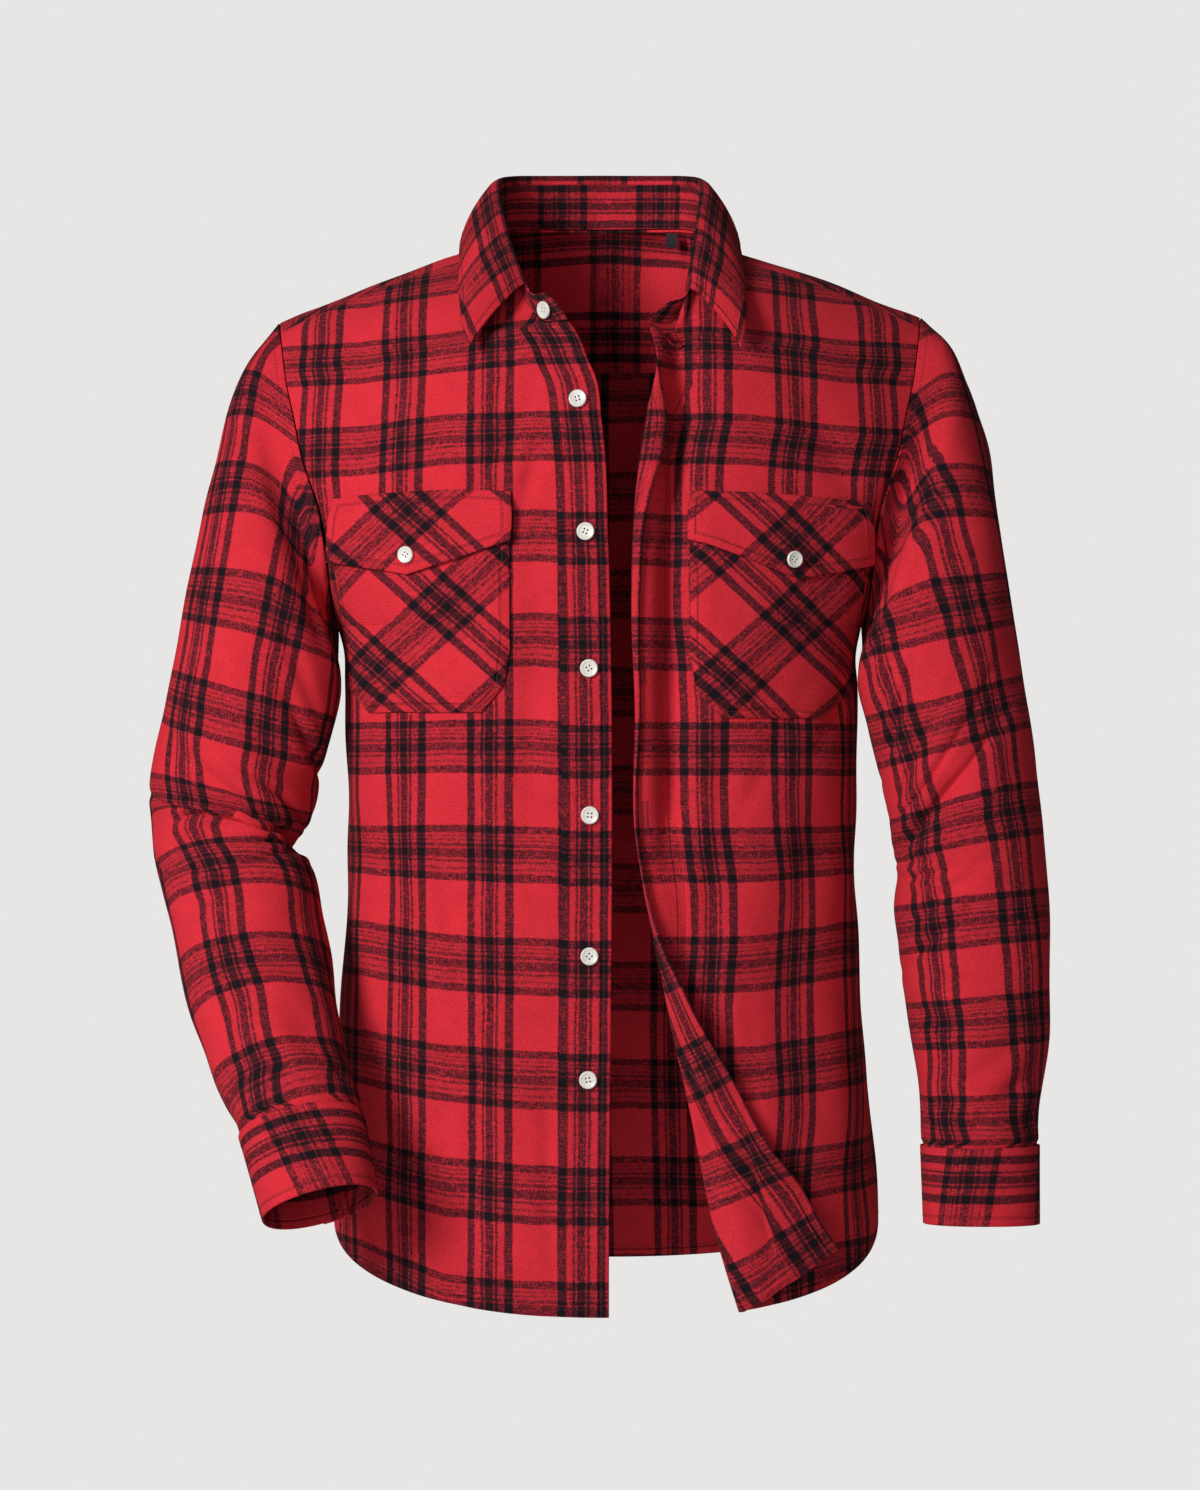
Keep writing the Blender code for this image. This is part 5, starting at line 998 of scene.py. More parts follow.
# ---- sleeves and cuffs ----
def sleeve_loops(side, rings, turns, proud=0.0, overlap=0.0, creased=True):
    """Net of a sleeve or cuff: loops at ring numbers, at turns from the outer side over the front."""
    rows = SLEEVE[side]
    phi = np.radians(turns)
    extra = proud + overlap * eased((turns - turns[0] - 360 + CUFF_OVERLAP) / CUFF_OVERLAP)

    def end(at, which):
        """A point of the sleeve's outer or inner line."""
        return read(rows, "ring", at, which + "_x", "y", which + "_z") * (side, 1, 1)

    net = []
    for ring in rings:
        at = max(ring, 1.0)
        power = 2 / np.interp(ring, (1, 6), (CAP_ROUND, SLEEVE_ROUND))
        cos, sin = (np.sign(way) * np.abs(way) ** power for way in (np.cos(phi), np.sin(phi)))
        outer, inner = end(at, "out"), end(at, "in")
        before, after = (end(near, "out") + end(near, "in") for near in np.clip((at - 0.5, at + 0.5), 1, 19))
        long_way = unit(after - before)
        half = (outer - inner) / 2
        front_way = unit(np.cross(long_way, half))
        if front_way[1] > 0:
            front_way = -front_way
        lean = np.clip((ring - 1) / 6, 0, 1)
        front_way = unit(front_way * lean + np.array([0, -1.0, 0]) * (1 - lean))
        deep = float(smooth(at, rows["ring"], rows["deep"]))
        size = np.linalg.norm(half)
        loop = ((outer + inner) / 2 + unit(half) * ((size + extra) * cos)[:, None]
                + front_way * ((deep + extra) * sin)[:, None])
        if ring < 1:
            seam = armhole(side, turns)
            low = (1 - np.cos(phi)) / 2
            seam[:, 0] += side * (ARMHOLE_EASE[0] + ARMHOLE_EASE[1] * low ** 2)
            loop = seam * (1 - ring) + loop * ring
        net.append(loop)
    net = np.array(net)
    if not creased:
        return net
    fade = np.clip((2.6 - np.array(rings)) / 1.0, 0, 1)[1:-1, None, None] * 0.5
    for _ in range(CAP_PASSES):
        net[1:-1] += fade * (net[:-2] + net[2:] - 2 * net[1:-1]) / 2
    net[:, -1] = net[:, 0]
    face, _ = facing(net, net.mean(axis=1, keepdims=True), True)
    depth = np.zeros(net.shape[:2])
    ring_grid = np.array(rings)[:, None]
    folds = SLEEVE_FOLDS[side]
    for k in range(len(folds["ring"])):
        away = (turns[None, :] - folds["turn"][k] + 180) % 360 - 180
        along = ring_grid - folds["ring"][k] - folds["slant"][k] * away
        off = (along / folds["long"][k]) ** 2 + (away / folds["round"][k]) ** 2
        depth += folds["depth"][k] * np.exp(-off)
    ends = np.clip(np.minimum(ring_grid - 0.5, SLEEVE_END - ring_grid), 0, 1)
    tuck = CUFF_TUCK * np.clip((ring_grid - SLEEVE_END) / TUCK_RINGS + 1, 0, 1)
    return net - face * (depth * ends + tuck)[..., None]


def sleeve_check(side, net, turns):
    start = int(np.argmin(np.abs(turns - 360)))
    downs = []
    for heights, z in zip(CHECK_SLEEVE[side].values(), (net[:, start, 2], net[:, 0, 2])):
        above = (heights[0] - z) / (heights[0] - heights[1])
        below = np.interp(-z, -heights, np.arange(len(heights)))
        downs.append(np.where(above < 0, above, below)[:, None])
    outer, inner = downs
    shape = np.cos(np.radians(turns))
    shape = np.sign(shape) * np.abs(shape) ** (2 / SLEEVE_ROUND)
    down = ((outer + inner) + (outer - inner) * shape[None, :]) / 2
    line = GRAIN_SLEEVE[side]
    reach = lengths_across(net)
    front_half = (turns >= 360) & (turns <= 540)
    zero = []
    for k in range(len(net)):
        x, z = net[k, front_half, 0], net[k, front_half, 2]
        off = (x - np.interp(-z, -line["z"], line["x"])) * -side
        order = np.argsort(off)
        zero.append(np.interp(0.0, off[order], reach[k, front_half][order]))
    zero = np.convolve(np.pad(zero, 6, mode="edge"), np.ones(13) / 13, "valid")
    across = reach - zero[:, None] + GRAIN_PLACE[side]
    # behind the sleeve's cap the grain runs on straight to the armhole
    back, ring = turns < 360, CAP_ROWS
    across[:ring, back] = across[:ring, start, None] + (across[ring, back] - across[ring, start])
    return np.stack([across, down * CHECK_DOWN], axis=-1)


def cuff_net(side, count=150):
    """Net of a cuff: a band whose end lies over its start at the outer back."""
    turns = CUFF_START + np.linspace(0, 360.0 + CUFF_OVERLAP, count)
    rings = np.linspace(SLEEVE_END + CUFF_RING, CUFF_END, 31)
    return sleeve_loops(side, rings, turns, proud=CUFF_PROUD, overlap=CUFF_LAP, creased=False), turns


# ---- collar ----
def collar_lines(ways, rows_of):
    """Net of a collar piece: columns from the right front end round the back to the left one."""
    places = [(RIGHT, way) for way in ways] + [(LEFT, way) for way in ways[-2::-1]]
    return np.array([rows_of(side, way) for side, way in places]).transpose(1, 0, 2)


def stand_net():
    """Net of the band that stands up from the neckline."""
    ways = np.concatenate([np.linspace(0, 0.10, 12)[:-1], np.linspace(0.10, 1, 80)])
    heights = np.linspace(0, 1, 15)

    def rows_of(side, way):
        neck, fold = neck_line(side, way), neck_line(side, way, "fold_")
        up = unit(fold - neck)
        top = neck + (fold - neck) * STAND_SHARE
        low = neck + up * STAND_LIFT
        ends = np.array(STAND_END[side])
        forward = unit(neck - neck_line(side, way + 0.05)) * max(1 - way / STAND_END_REACH[side], 0)
        return np.array([low + (top - low) * t + forward * float(smooth(t, ends[:, 0], ends[:, 1]))
                         for t in heights])

    return collar_lines(ways, rows_of)


def leaf_net():
    """Net of the leaf: up from the stand's seam, over the fold and down to its points."""
    ways = np.linspace(LEAF_START, 1, 84)
    inner, outer_part = np.linspace(0, 1, 6), np.linspace(0, 1, 25)[1:]

    def rows_of(side, way):
        neck, fold = neck_line(side, way), neck_line(side, way, "fold_")
        edge = neck_line(side, way, "edge_")
        low = neck + (fold - neck) * STAND_SHARE
        out = unit((edge - fold) * (1, 1, 0))
        rise = low + (fold - low) * 0.75
        peak = fold + out * COLLAR_ROLL * 0.45 + np.array([0, 0, 0.0008])
        turned = fold + out * COLLAR_ROLL * 1.15 + (edge - fold) * 0.07
        up = [low + (rise - low) * t for t in inner]
        t = np.linspace(0, 1, 9)[1:, None]
        handle = rise + (rise - low) / max(np.linalg.norm(rise - low), 1e-6) * 0.0022
        down_way = turned - unit(edge - turned) * 0.0030
        over = bend(rise, handle, peak + (down_way - peak) * 0.2 * t, turned, t)
        down = [turned + (edge - turned) * s + out * LEAF_BELLY * 4 * s * (1 - s) for s in outer_part]
        return np.vstack([up, over, down])

    return collar_lines(ways, rows_of)


# ---- how the check lies on the smaller pieces ----
def yoke_check(net):
    reach = lengths_along(net, 0)
    up = reach[-1:] - reach
    middle = net.shape[1] // 2
    start = np.interp(-YOKE_CHECK[1], -net[:, middle, 2], up[:, middle])
    return np.stack([(start - up) * CHECK_ACROSS / CHECK_DOWN, net[..., 0] - YOKE_CHECK[0]], axis=-1)


def stand_check(net):
    reach = lengths_along(net, 0)
    return np.stack([reach[-1:] - reach - STAND_CHECK[0], from_middle(net) + STAND_CHECK[1]], axis=-1)


def leaf_check(net):
    down, away = lengths_along(net, 0), np.abs(from_middle(net))
    middle = net.shape[1] // 2
    peak = int(np.argmax(net[:, middle, 2]))
    fold = down - down[peak:peak + 1]
    side = np.sign(np.arange(net.shape[1]) - middle)[None, :]
    from_end = away[:, :1] * (side < 0) + away[:, -1:] * (side > 0) - away
    share = np.clip(fold / np.maximum(fold[-1:], 1e-6), 0, 1)
    end_place = LEAF_CHECK[2] - from_end + LEAF_POINT * share
    near_end = eased((LEAF_BLEND[0] - from_end[peak:peak + 1]) / LEAF_BLEND[1])
    back_place = away[peak:peak + 1] + 0 * fold
    place = back_place * (1 - near_end) + end_place * near_end
    return np.stack([fold + LEAF_CHECK[0], np.where(side < 0, -place, place) + LEAF_CHECK[1]], axis=-1)


def cuff_check(side, net, turns):
    middle = net.shape[0] // 2
    reach = lengths_along(net, 1)
    front_half = (turns >= 360) & (turns <= 540)
    x = net[middle, front_half, 0] * -side
    order = np.argsort(x)
    zero = np.interp(-CUFF_CHECK[side][1], x[order], reach[middle, front_half][order])
    across = zero - reach if side == LEFT else reach - zero
    return np.stack([lengths_along(net, 0) - CUFF_CHECK[side][0], across], axis=-1)


def bias_check(side, x, z, cross, turn):
    """A check on the bias: a warp and a weft group cross at a place, each turned from the level."""
    a, b = x - side * cross[0], cross[1] - z
    slope = math.radians(turn)
    warp = -a * math.sin(slope) + b * math.cos(slope)
    weft = a * math.sin(slope) + b * math.cos(slope)
    return np.stack([warp + GROUP_MIDDLE[0], weft + GROUP_MIDDLE[1]], axis=-1)


def pocket_net(side):
    """Net and check of a chest pocket, puffed a little over its front."""
    shape = POCKET[side]
    z_rows = np.linspace(float(shape["z"][-1]), float(shape["z"][0]), int(0.15 / FINE))
    share = np.linspace(0, 1, int(0.12 / FINE))
    outer = np.interp(z_rows, shape["z"], shape["outer"])
    inner = np.interp(z_rows, shape["z"], shape["inner"])
    x = side * (inner[:, None] + (outer - inner)[:, None] * share[None, :])
    z = np.repeat(z_rows[:, None], len(share), axis=1)
    edge = np.minimum(np.minimum(share, 1 - share)[None, :] * (outer - inner)[:, None],
                      (z_rows - z_rows[-1])[:, None])
    wave = 0.0005 * np.sin(x / 0.013 + 1.2 * np.sin(z / 0.02)) * eased(edge / 0.02)
    net = front(side).over(x, z, LAYER + POCKET_PUFF * eased(edge / 0.014) + wave)
    return net, bias_check(side, x, z, POCKET_CROSS[side][1], POCKET_TURN[side])


def flap_net(side):
    """Net and check of a pointed pocket flap, sewn down along its top."""
    shape = POCKET_FLAP[side]
    x_columns = np.linspace(shape["x"][0], shape["x"][-1], int(0.126 / FINE))
    x_columns[np.argmin(np.abs(x_columns - shape["x"][2]))] = shape["x"][2]
    top = np.interp(x_columns, shape["x"], shape["top"])
    foot = np.interp(x_columns, shape["x"], shape["foot"])
    down = np.linspace(0, 1, int(0.056 / FINE))
    z = top[None, :] + (foot - top)[None, :] * down[:, None]
    x = np.repeat(side * x_columns[None, :], len(down), axis=0)
    lift = LAYER + (LAYER + 2 * POCKET_PUFF) * eased((top[None, :] - z) / 0.015)
    return front(side).over(x, z, lift), bias_check(side, x, z, POCKET_CROSS[side][0], POCKET_TURN[side])


# ---- finishes ----
class Finish:
    """A material under construction: nodes are added and joined by name."""

    def __init__(self, name):
        self.material = bpy.data.materials.new(name)
        self.material.use_nodes = True
        self.nodes, self.links = self.material.node_tree.nodes, self.material.node_tree.links
        self.shader = self.nodes["Principled BSDF"]

    def join(self, value, socket):
        """A value or another node's output goes into a socket."""
        if isinstance(value, bpy.types.NodeSocket):
            self.links.new(value, socket)
        else:
            socket.default_value = value

    def fill(self, node, **values):
        """Values or outputs go into a node's sockets by name."""
        for name, value in values.items():
            self.join(value, node.inputs[name.replace("_", " ")])

    def calc(self, operation, a, b=0.0, c=0.0, clamp=False):
        """A sum, product or other step on one to three values."""
        node = self.nodes.new("ShaderNodeMath")
        node.operation, node.use_clamp = operation, clamp
        for k, value in enumerate((a, b, c)):
            self.join(value, node.inputs[k])
        return node.outputs[0]

    def plus(self, a, b, clamp=False):
        """a + b."""
        return self.calc("ADD", a, b, clamp=clamp)

    def minus(self, a, b, clamp=False):
        """a - b."""
        return self.calc("SUBTRACT", a, b, clamp=clamp)

    def times(self, a, b):
        """a * b."""
        return self.calc("MULTIPLY", a, b)

    def weighed(self, *parts):
        """The sum of values, each times its weight."""
        total = self.times(*parts[0])
        for part in parts[1:]:
            total = self.plus(total, self.times(*part))
        return total

    def vector(self, operation, a, b=(0, 0, 0), scale=1.0):
        """A step on vectors."""
        node = self.nodes.new("ShaderNodeVectorMath")
        node.operation = operation
        self.join(a, node.inputs[0])
        if operation == "SCALE":
            self.join(scale, node.inputs[3])
        else:
            self.join(b, node.inputs[1])
        return node.outputs[0]

    def on_object(self):
        """Places on the object."""
        return self.nodes.new("ShaderNodeTexCoord").outputs["Object"]

    def on_cloth(self):
        """Places on the cloth, laid flat."""
        node = self.nodes.new("ShaderNodeUVMap")
        node.uv_map = "cloth"
        return node.outputs[0]

    def noise(self, place, size, detail=2.0, rough=0.5, twist=0.0, output=0):
        """Soft noise whose lumps are about a size in metres."""
        node = self.nodes.new("ShaderNodeTexNoise")
        self.fill(node, Vector=place, Scale=1.0 / size, Detail=detail, Roughness=rough, Distortion=twist)
        return node.outputs[output]

    def stirred(self, place, by_place, size, by):
        """Places moved about by soft noise at other places."""
        away = self.vector("SUBTRACT", self.noise(by_place, size, 1.0, output="Color"), (0.5, 0.5, 0.5))
        return self.vector("ADD", place, self.vector("SCALE", away, scale=by))

    def bands(self, place, way, scale, twist, detail=2.0):
        """Fine bands, as of a twill or a thread's plies."""
        node = self.nodes.new("ShaderNodeTexWave")
        node.bands_direction = way
        self.fill(node, Vector=place, Scale=scale, Detail=detail, Distortion=twist)
        return node.outputs["Fac"]

    def ramp(self, value, stops):
        """Colours or greys at places between 0 and 1."""
        node = self.nodes.new("ShaderNodeValToRGB")
        points = node.color_ramp.elements
        while len(points) > 1:
            points.remove(points[-1])
        for k, (place, colour) in enumerate(stops):
            point = points[0] if k == 0 else points.new(place)
            point.position = place
            point.color = (*((colour,) * 3 if isinstance(colour, (int, float)) else colour), 1)
        self.join(value, node.inputs[0])
        return node.outputs[0]

    def mix(self, share, a, b, kind="MIX"):
        """Two colours mixed by a share."""
        node = self.nodes.new("ShaderNodeMix")
        node.data_type, node.blend_type = "RGBA", kind
        for k, value in ((0, share), (6, a), (7, b)):
            self.join(value, node.inputs[k])
        return node.outputs[2]

    def tones(self, share, colour, low, high=1.0):
        """A colour between two shares of its brightness."""
        return self.mix(share, *((*[c * k for c in colour], 1) for k in (low, high)))

    def hump(self, value, middle, reach):
        """1 at a middle value, falling smoothly to 0 at a reach from it."""
        away = self.calc("ABSOLUTE", self.minus(value, middle))
        near = self.minus(1.0, self.calc("DIVIDE", away, reach), clamp=True)
        return self.times(self.times(near, near), self.minus(3.0, self.times(near, 2.0)))

    def done(self, colour, height, depth, **sockets):
        """The material, with its colour, its relief (0 to 1 over a depth in metres) and other sockets."""
        self.fill(self.shader, Base_Color=colour, **sockets)
        node = self.nodes.new("ShaderNodeBump")
        self.fill(node, Strength=1.0, Distance=depth, Height=height)
        self.links.new(node.outputs[0], self.shader.inputs["Normal"])
        return self.material


def material(finish):
    """The material that a function below sets up, made the first time that it is asked for."""
    name = finish.__name__
    return bpy.data.materials.get(name) or finish(Finish(name), settings())


def stripe_stops(stripes, repeat, ground):
    """Ramp stops of a group of dark stripes, given in millimetres, on its own dusky ground."""
    stops = []
    for k, (start, end, dark) in enumerate(stripes):
        before = 0.0 if k == 0 else ground
        after = 0.0 if k == len(stripes) - 1 else ground
        soft = min(STRIPE_BLUR, (end - start) * 0.0004)
        for place, value in ((start / 1000 - soft, before), (start / 1000 + soft, dark),
                             (end / 1000 - soft, dark), (end / 1000 + soft, after)):
            stops.append(((place + STRIPE_LEAD) / repeat, value))
    return stops


def check_flannel(f, s):
    """Brushed cotton twill, woven in a red and black check that follows each piece's own UV map."""
    flat = f.on_cloth()
    moved = f.stirred(f.stirred(flat, flat, 0.028, 0.0016), flat, 0.0009, 0.0009)
    parts = f.nodes.new("ShaderNodeSeparateXYZ")
    f.join(moved, parts.inputs[0])
    warp, weft = (f.calc("FRACT", f.calc("DIVIDE", f.plus(parts.outputs[k], STRIPE_LEAD), repeat))
                  for k, repeat in enumerate((s.check_across, s.check_down)))
    warp_dark = f.ramp(warp, stripe_stops(WARP_STRIPES, CHECK_ACROSS, 0.16))
    weft_dark = f.ramp(weft, stripe_stops(WEFT_STRIPES, CHECK_DOWN, 0.33))
    dark = f.weighed((warp_dark, 0.57), (weft_dark, 0.47))

    # flecks of the yarns, long along the warp and the weft, most where one dark yarn crosses a red one
    along_warp = f.noise(f.vector("MULTIPLY", moved, (1.0, 0.22, 1.0)), 0.00085, 1.0)
    along_weft = f.noise(f.vector("MULTIPLY", moved, (0.16, 1.0, 1.0)), 0.00085, 1.0)
    fleck = f.plus(f.minus(f.plus(along_warp, along_weft), 1.5), f.noise(flat, 0.00075, 1.0))
    mixed = f.minus(1.0, f.calc("ABSOLUTE", f.minus(f.times(dark, 2.0), 1.0)))
    dark = f.plus(dark, f.times(fleck, f.plus(0.26, f.times(mixed, 0.72))), clamp=True)
    colour = f.ramp(dark, ((0.0, s.red), (0.5, s.maroon), (1.0, s.black)))

    # the brushed nap: cloudy patches, a fine haze and the twill's diagonal
    cloud = f.noise(flat, 0.022, 4.0, 0.6)
    haze = f.noise(flat, 0.0015, 3.0, 0.65)
    twill = f.bands(flat, "DIAGONAL", 260.0, 1.2, 1.0)
    shade = f.plus(f.weighed((cloud, 0.36), (haze, 0.80), (twill, 0.14)), 0.37)

    # where the cloth is turned and stitched along a piece's edge: painted shade in the stitch groove and
    # along the edge itself, besides the relief below
    attribute = f.nodes.new("ShaderNodeAttribute")
    attribute.attribute_name = "rim"
    rim = attribute.outputs["Fac"]
    groove, edge = f.hump(rim, 0.0065, 0.0016), f.hump(rim, 0.0, 0.0022)
    # painted shade: the colour is made darker in the stitch groove and along the very edge
    shade = f.minus(f.minus(shade, f.times(groove, 0.16)), f.times(edge, 0.10))
    colour = f.mix(1.0, colour, f.vector("SCALE", (1, 1, 1), scale=shade), "MULTIPLY")
    turning = f.minus(1.0, f.calc("DIVIDE", rim, 0.0080), clamp=True)
    ridge = f.calc("SMOOTH_MIN", turning, 0.35, 0.2)
    pucker = f.times(f.noise(flat, 0.0055, 2.0), 0.9)
    height = f.weighed((ridge, 1.2), (groove, -0.9), (pucker, f.hump(rim, 0.0060, 0.0065)), (haze, 0.42),
                       (twill, 0.16))
    return f.done(colour, height, 0.0010, Roughness=s.cloth_roughness, Specular_IOR_Level=0.08,
                  Sheen_Weight=s.nap, Sheen_Roughness=0.55, Sheen_Tint=(1.0, 0.72, 0.72, 1.0))


def sewing_thread(f, s):
    """Sewing thread: two plies that catch the light in turn, as a painted highlight and shade, over a random
    tone.
    """
    place = f.on_object()
    ply = f.bands(place, "DIAGONAL", 420.0, 0.6)
    # painted highlight and shade: the ply bands make the colour lighter and darker in turn; the noise is a
    # random tone
    share = f.weighed((ply, 0.5), (f.noise(place, 0.004), 0.5))
    return f.done(f.tones(share, s.thread, 0.6), ply, 0.00012, Roughness=0.62)


def pearl_resin(f, s):
    """Pearly button resin: cloudy swirls under a clear polish."""
    place = f.on_object()
    swirl = f.noise(place, 0.0042, 3.0, 0.55, 2.2)
    grain = f.noise(place, 0.0006)
    share = f.plus(f.times(swirl, 1.5), -0.25, clamp=True)
    return f.done(f.tones(share, s.button_colour, 0.80), grain, 0.00003,
                  Roughness=f.plus(0.20, f.times(grain, 0.16)), Subsurface_Weight=0.12,
                  Subsurface_Radius=(0.002, 0.0018, 0.0014), Subsurface_Scale=0.4, Coat_Weight=0.35,
                  Coat_Roughness=0.12)


def label_satin(f, s):
    """Dark woven satin of the bare neck label."""
    flat = f.on_cloth()
    share = f.weighed((f.bands(flat, "Y", 620.0, 0.4), 0.6), (f.noise(flat, 0.002), 0.4))
    return f.done(f.tones(share, s.label_colour, 0.55, 1.5), share, 0.00010, Roughness=0.48)


def studio_paper(f, s):
    """Matt studio paper."""
    grain = f.noise(f.on_object(), 0.010, 3.0)
    pale = bpy.context.scene.shirt_stage.floor_colour
    return f.done(f.tones(grain, pale, 0.97), grain, 0.0004, Roughness=0.9)


# ---- buttons ----
def nearest(net, node):
    """The middle of a CAD button, and the row and column of a net's point nearest to it."""
    low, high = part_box(node)
    middle = np.array((Vector(low) + Vector(high)) / 2)
    return middle, np.unravel_index(np.argmin(np.linalg.norm(net - middle, axis=-1)), net.shape[:2])


def button(name, spot, out, radius, turn):
    """A round four-hole button lying with its underside at a spot, facing out, and its thread."""
    out = unit(np.array(out, float))
    side_way = unit(np.cross(out, (0, 0, 1)))
    up_way = np.cross(side_way, out)
    place = Matrix([(side_way[c], up_way[c], out[c], spot[c]) for c in range(3)] + [(0, 0, 0, 1)])
    place = place @ Matrix.Rotation(math.radians(turn), 4, "Z")
    inner, away = BUTTON_DISH * radius, BUTTON_HOLES * radius
    holes = [(x, y) for x in (-away, away) for y in (-away, away)]
    mesh = bmesh.new()
    bmesh.ops.create_circle(mesh, segments=32, radius=inner, cap_ends=False)
    for x, y in holes:
        bmesh.ops.create_circle(mesh, segments=10, radius=BUTTON_HOLE * radius, cap_ends=False,
                                matrix=Matrix.Translation((x, y, 0)))
    bmesh.ops.triangle_fill(mesh, use_beauty=True, use_dissolve=False, edges=mesh.edges[:],
                            normal=(0, 0, 1))
    lifted = bmesh.ops.extrude_face_region(mesh, geom=mesh.faces[:])["geom"]
    bmesh.ops.translate(mesh, verts=[v for v in lifted if isinstance(v, bmesh.types.BMVert)],
                        vec=(0, 0, BUTTON_THICK * (BUTTON_DISH_TOP - BUTTON_FLOOR)))
    bmesh.ops.translate(mesh, verts=mesh.verts[:], vec=(0, 0, BUTTON_THICK * BUTTON_FLOOR))
    walls = [face for face in mesh.faces if all(v.co.xy.length > inner * 0.98 for v in face.verts)
             and abs(face.normal.z) < 0.5]
    bmesh.ops.delete(mesh, geom=walls, context="FACES_ONLY")
    outline = ((BUTTON_DISH, BUTTON_FLOOR), *BUTTON_RIM, (BUTTON_DISH, BUTTON_DISH_TOP))
    verts = [mesh.verts.new((radius * r, 0, BUTTON_THICK * h)) for r, h in outline]
    edges = [mesh.edges.new(pair) for pair in zip(verts[:-1], verts[1:])]
    bmesh.ops.spin(mesh, geom=verts + edges, cent=(0, 0, 0), axis=(0, 0, 1), angle=2 * math.pi, steps=32,
                   use_merge=True)
    bmesh.ops.remove_doubles(mesh, verts=mesh.verts[:], dist=2e-6)
    bmesh.ops.recalc_face_normals(mesh, faces=mesh.faces[:])
    bmesh.ops.transform(mesh, matrix=place, verts=mesh.verts[:])
    piece = shown(name + "_resin", mesh, material(pearl_resin))
    softened(piece, 0.00022, 28)
    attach(piece, "root")
    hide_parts(name)

    mesh = bmesh.new()
    for x, y in holes:
        drop = (Matrix.Translation((x, y, BUTTON_THICK * BUTTON_DISH_TOP * 0.20))
                @ Matrix.Diagonal((radius * 0.075, radius * 0.075, BUTTON_THICK * 0.40, 1)))
        bmesh.ops.create_uvsphere(mesh, u_segments=8, v_segments=6, radius=1.0, matrix=place @ drop)
    bmesh.ops.recalc_face_normals(mesh, faces=mesh.faces[:])
    tied = shown(name + "_thread", mesh, material(sewing_thread))
    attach(tied, "root")


# ---- settings, operators and panel ----
Length = partial(FloatProperty, unit="LENGTH", precision=4)
Share = partial(FloatProperty, subtype="FACTOR", min=0.0, max=1.0)
Colour = partial(FloatVectorProperty, subtype="COLOR", size=3, min=0.0, max=1.0)


class ShirtSettings(bpy.types.PropertyGroup):
    """Sizes and colours of the shirt's cloth, sewing and buttons."""

    cloth_thickness: Length(name="Cloth thickness", default=CLOTH, min=0.0004, max=0.004,
                            description="Thickness of one piece of flannel with its turnings")
    check_across: Length(name="Check across", default=CHECK_ACROSS, min=0.01, max=0.3,
                         description="Width of one repeat of the check")
    check_down: Length(name="Check down", default=CHECK_DOWN, min=0.01, max=0.3,
                       description="Height of one repeat of the check")
    stitch_pitch: Length(name="Stitch pitch", default=0.0031, min=0.001, max=0.01,
                         description="Distance from one stitch to the next")
    thread_radius: Length(name="Thread radius", default=0.00026, min=0.0001, max=0.001, precision=5,
                          description="Radius of the sewing thread")
    cloth_roughness: Share(name="Cloth roughness", default=0.93, description="How matt the flannel is")
    nap: Share(name="Nap", default=0.02, description="Strength of the soft sheen of the brushed nap")
    red: Colour(name="Red", default=(0.66, 0.027, 0.043), description="Colour of the red yarn")
    maroon: Colour(name="Maroon", default=(0.122, 0.012, 0.020),
                   description="Colour where black yarn crosses red yarn")
    black: Colour(name="Black", default=(0.0097, 0.007, 0.0097), description="Colour of the black yarn")
    thread: Colour(name="Thread", default=(0.20, 0.010, 0.018), description="Colour of the sewing thread")
    button_colour: Colour(name="Buttons", default=(0.86, 0.84, 0.79),
                          description="Colour of the pearly buttons")
    label_colour: Colour(name="Label", default=(0.02, 0.022, 0.028),
                         description="Colour of the bare neck label")


class StageSettings(bpy.types.PropertyGroup):
    """Floor, lights and camera."""

    floor_colour: Colour(name="Floor", default=(0.80, 0.79, 0.785), description="Colour of the studio paper")
    floor_height: Length(name="Floor height", default=-1.45, min=-3.0, max=-0.8,
                         description="Height of the floor under the shirt")
    key_power: FloatProperty(name="Key light", default=50.5, min=0.0, max=1000.0,
                             description="Power of the large soft light, in watts")
    fill: FloatProperty(name="Fill", default=0.10, min=0.0, max=3.0,
                        description="Strength of the light from all round")
    lens: FloatProperty(name="Lens", default=78.5, min=20.0, max=300.0,
                        description="Focal length, in millimetres")


def settings():
    """The shirt's settings."""
    return bpy.context.scene.shirt


class SHIRT_OT_fronts(bpy.types.Operator):
    """Both fronts with their plackets, the left one's edge turned back"""

    bl_idname = "shirt.fronts"
    bl_label = "Fronts"

    def execute(self, context):
        plackets = {RIGHT: ("button_placket", PLACKET_THICK, (1,)),
                    LEFT: ("buttonhole_placket", None, (1, -1))}
        for side, hand in SIDES:
            net, check = front_panel(side)
            face = normals_of(net) * side
            net = pulled_back(net, rows=(0, 0.5))
            lines = sewn_lines(net, face, ("first",), HEM_STITCH, (1, -1))
            lines += sewn_lines(net, face, ("last",), SEAM_STITCH)
            cloth("front_" + hand, net, check, side, lines, rims=("first",))
            net, check = front_placket(side)
            face = normals_of(net) * side
            net = pulled_back(net, rows=(0, 2), columns=(0, -3))
            name, thick, faces = plackets[side]
            lines = sewn_lines(net, face, ("left", ("right", 0, 0.94), "first"), PLACKET_STITCH, faces, thick)
            cloth(name, net, check, side, lines, thick=thick, rims=("left", "right"),
                  holes=buttonholes(net, face) if side == LEFT else ())
        return {"FINISHED"}


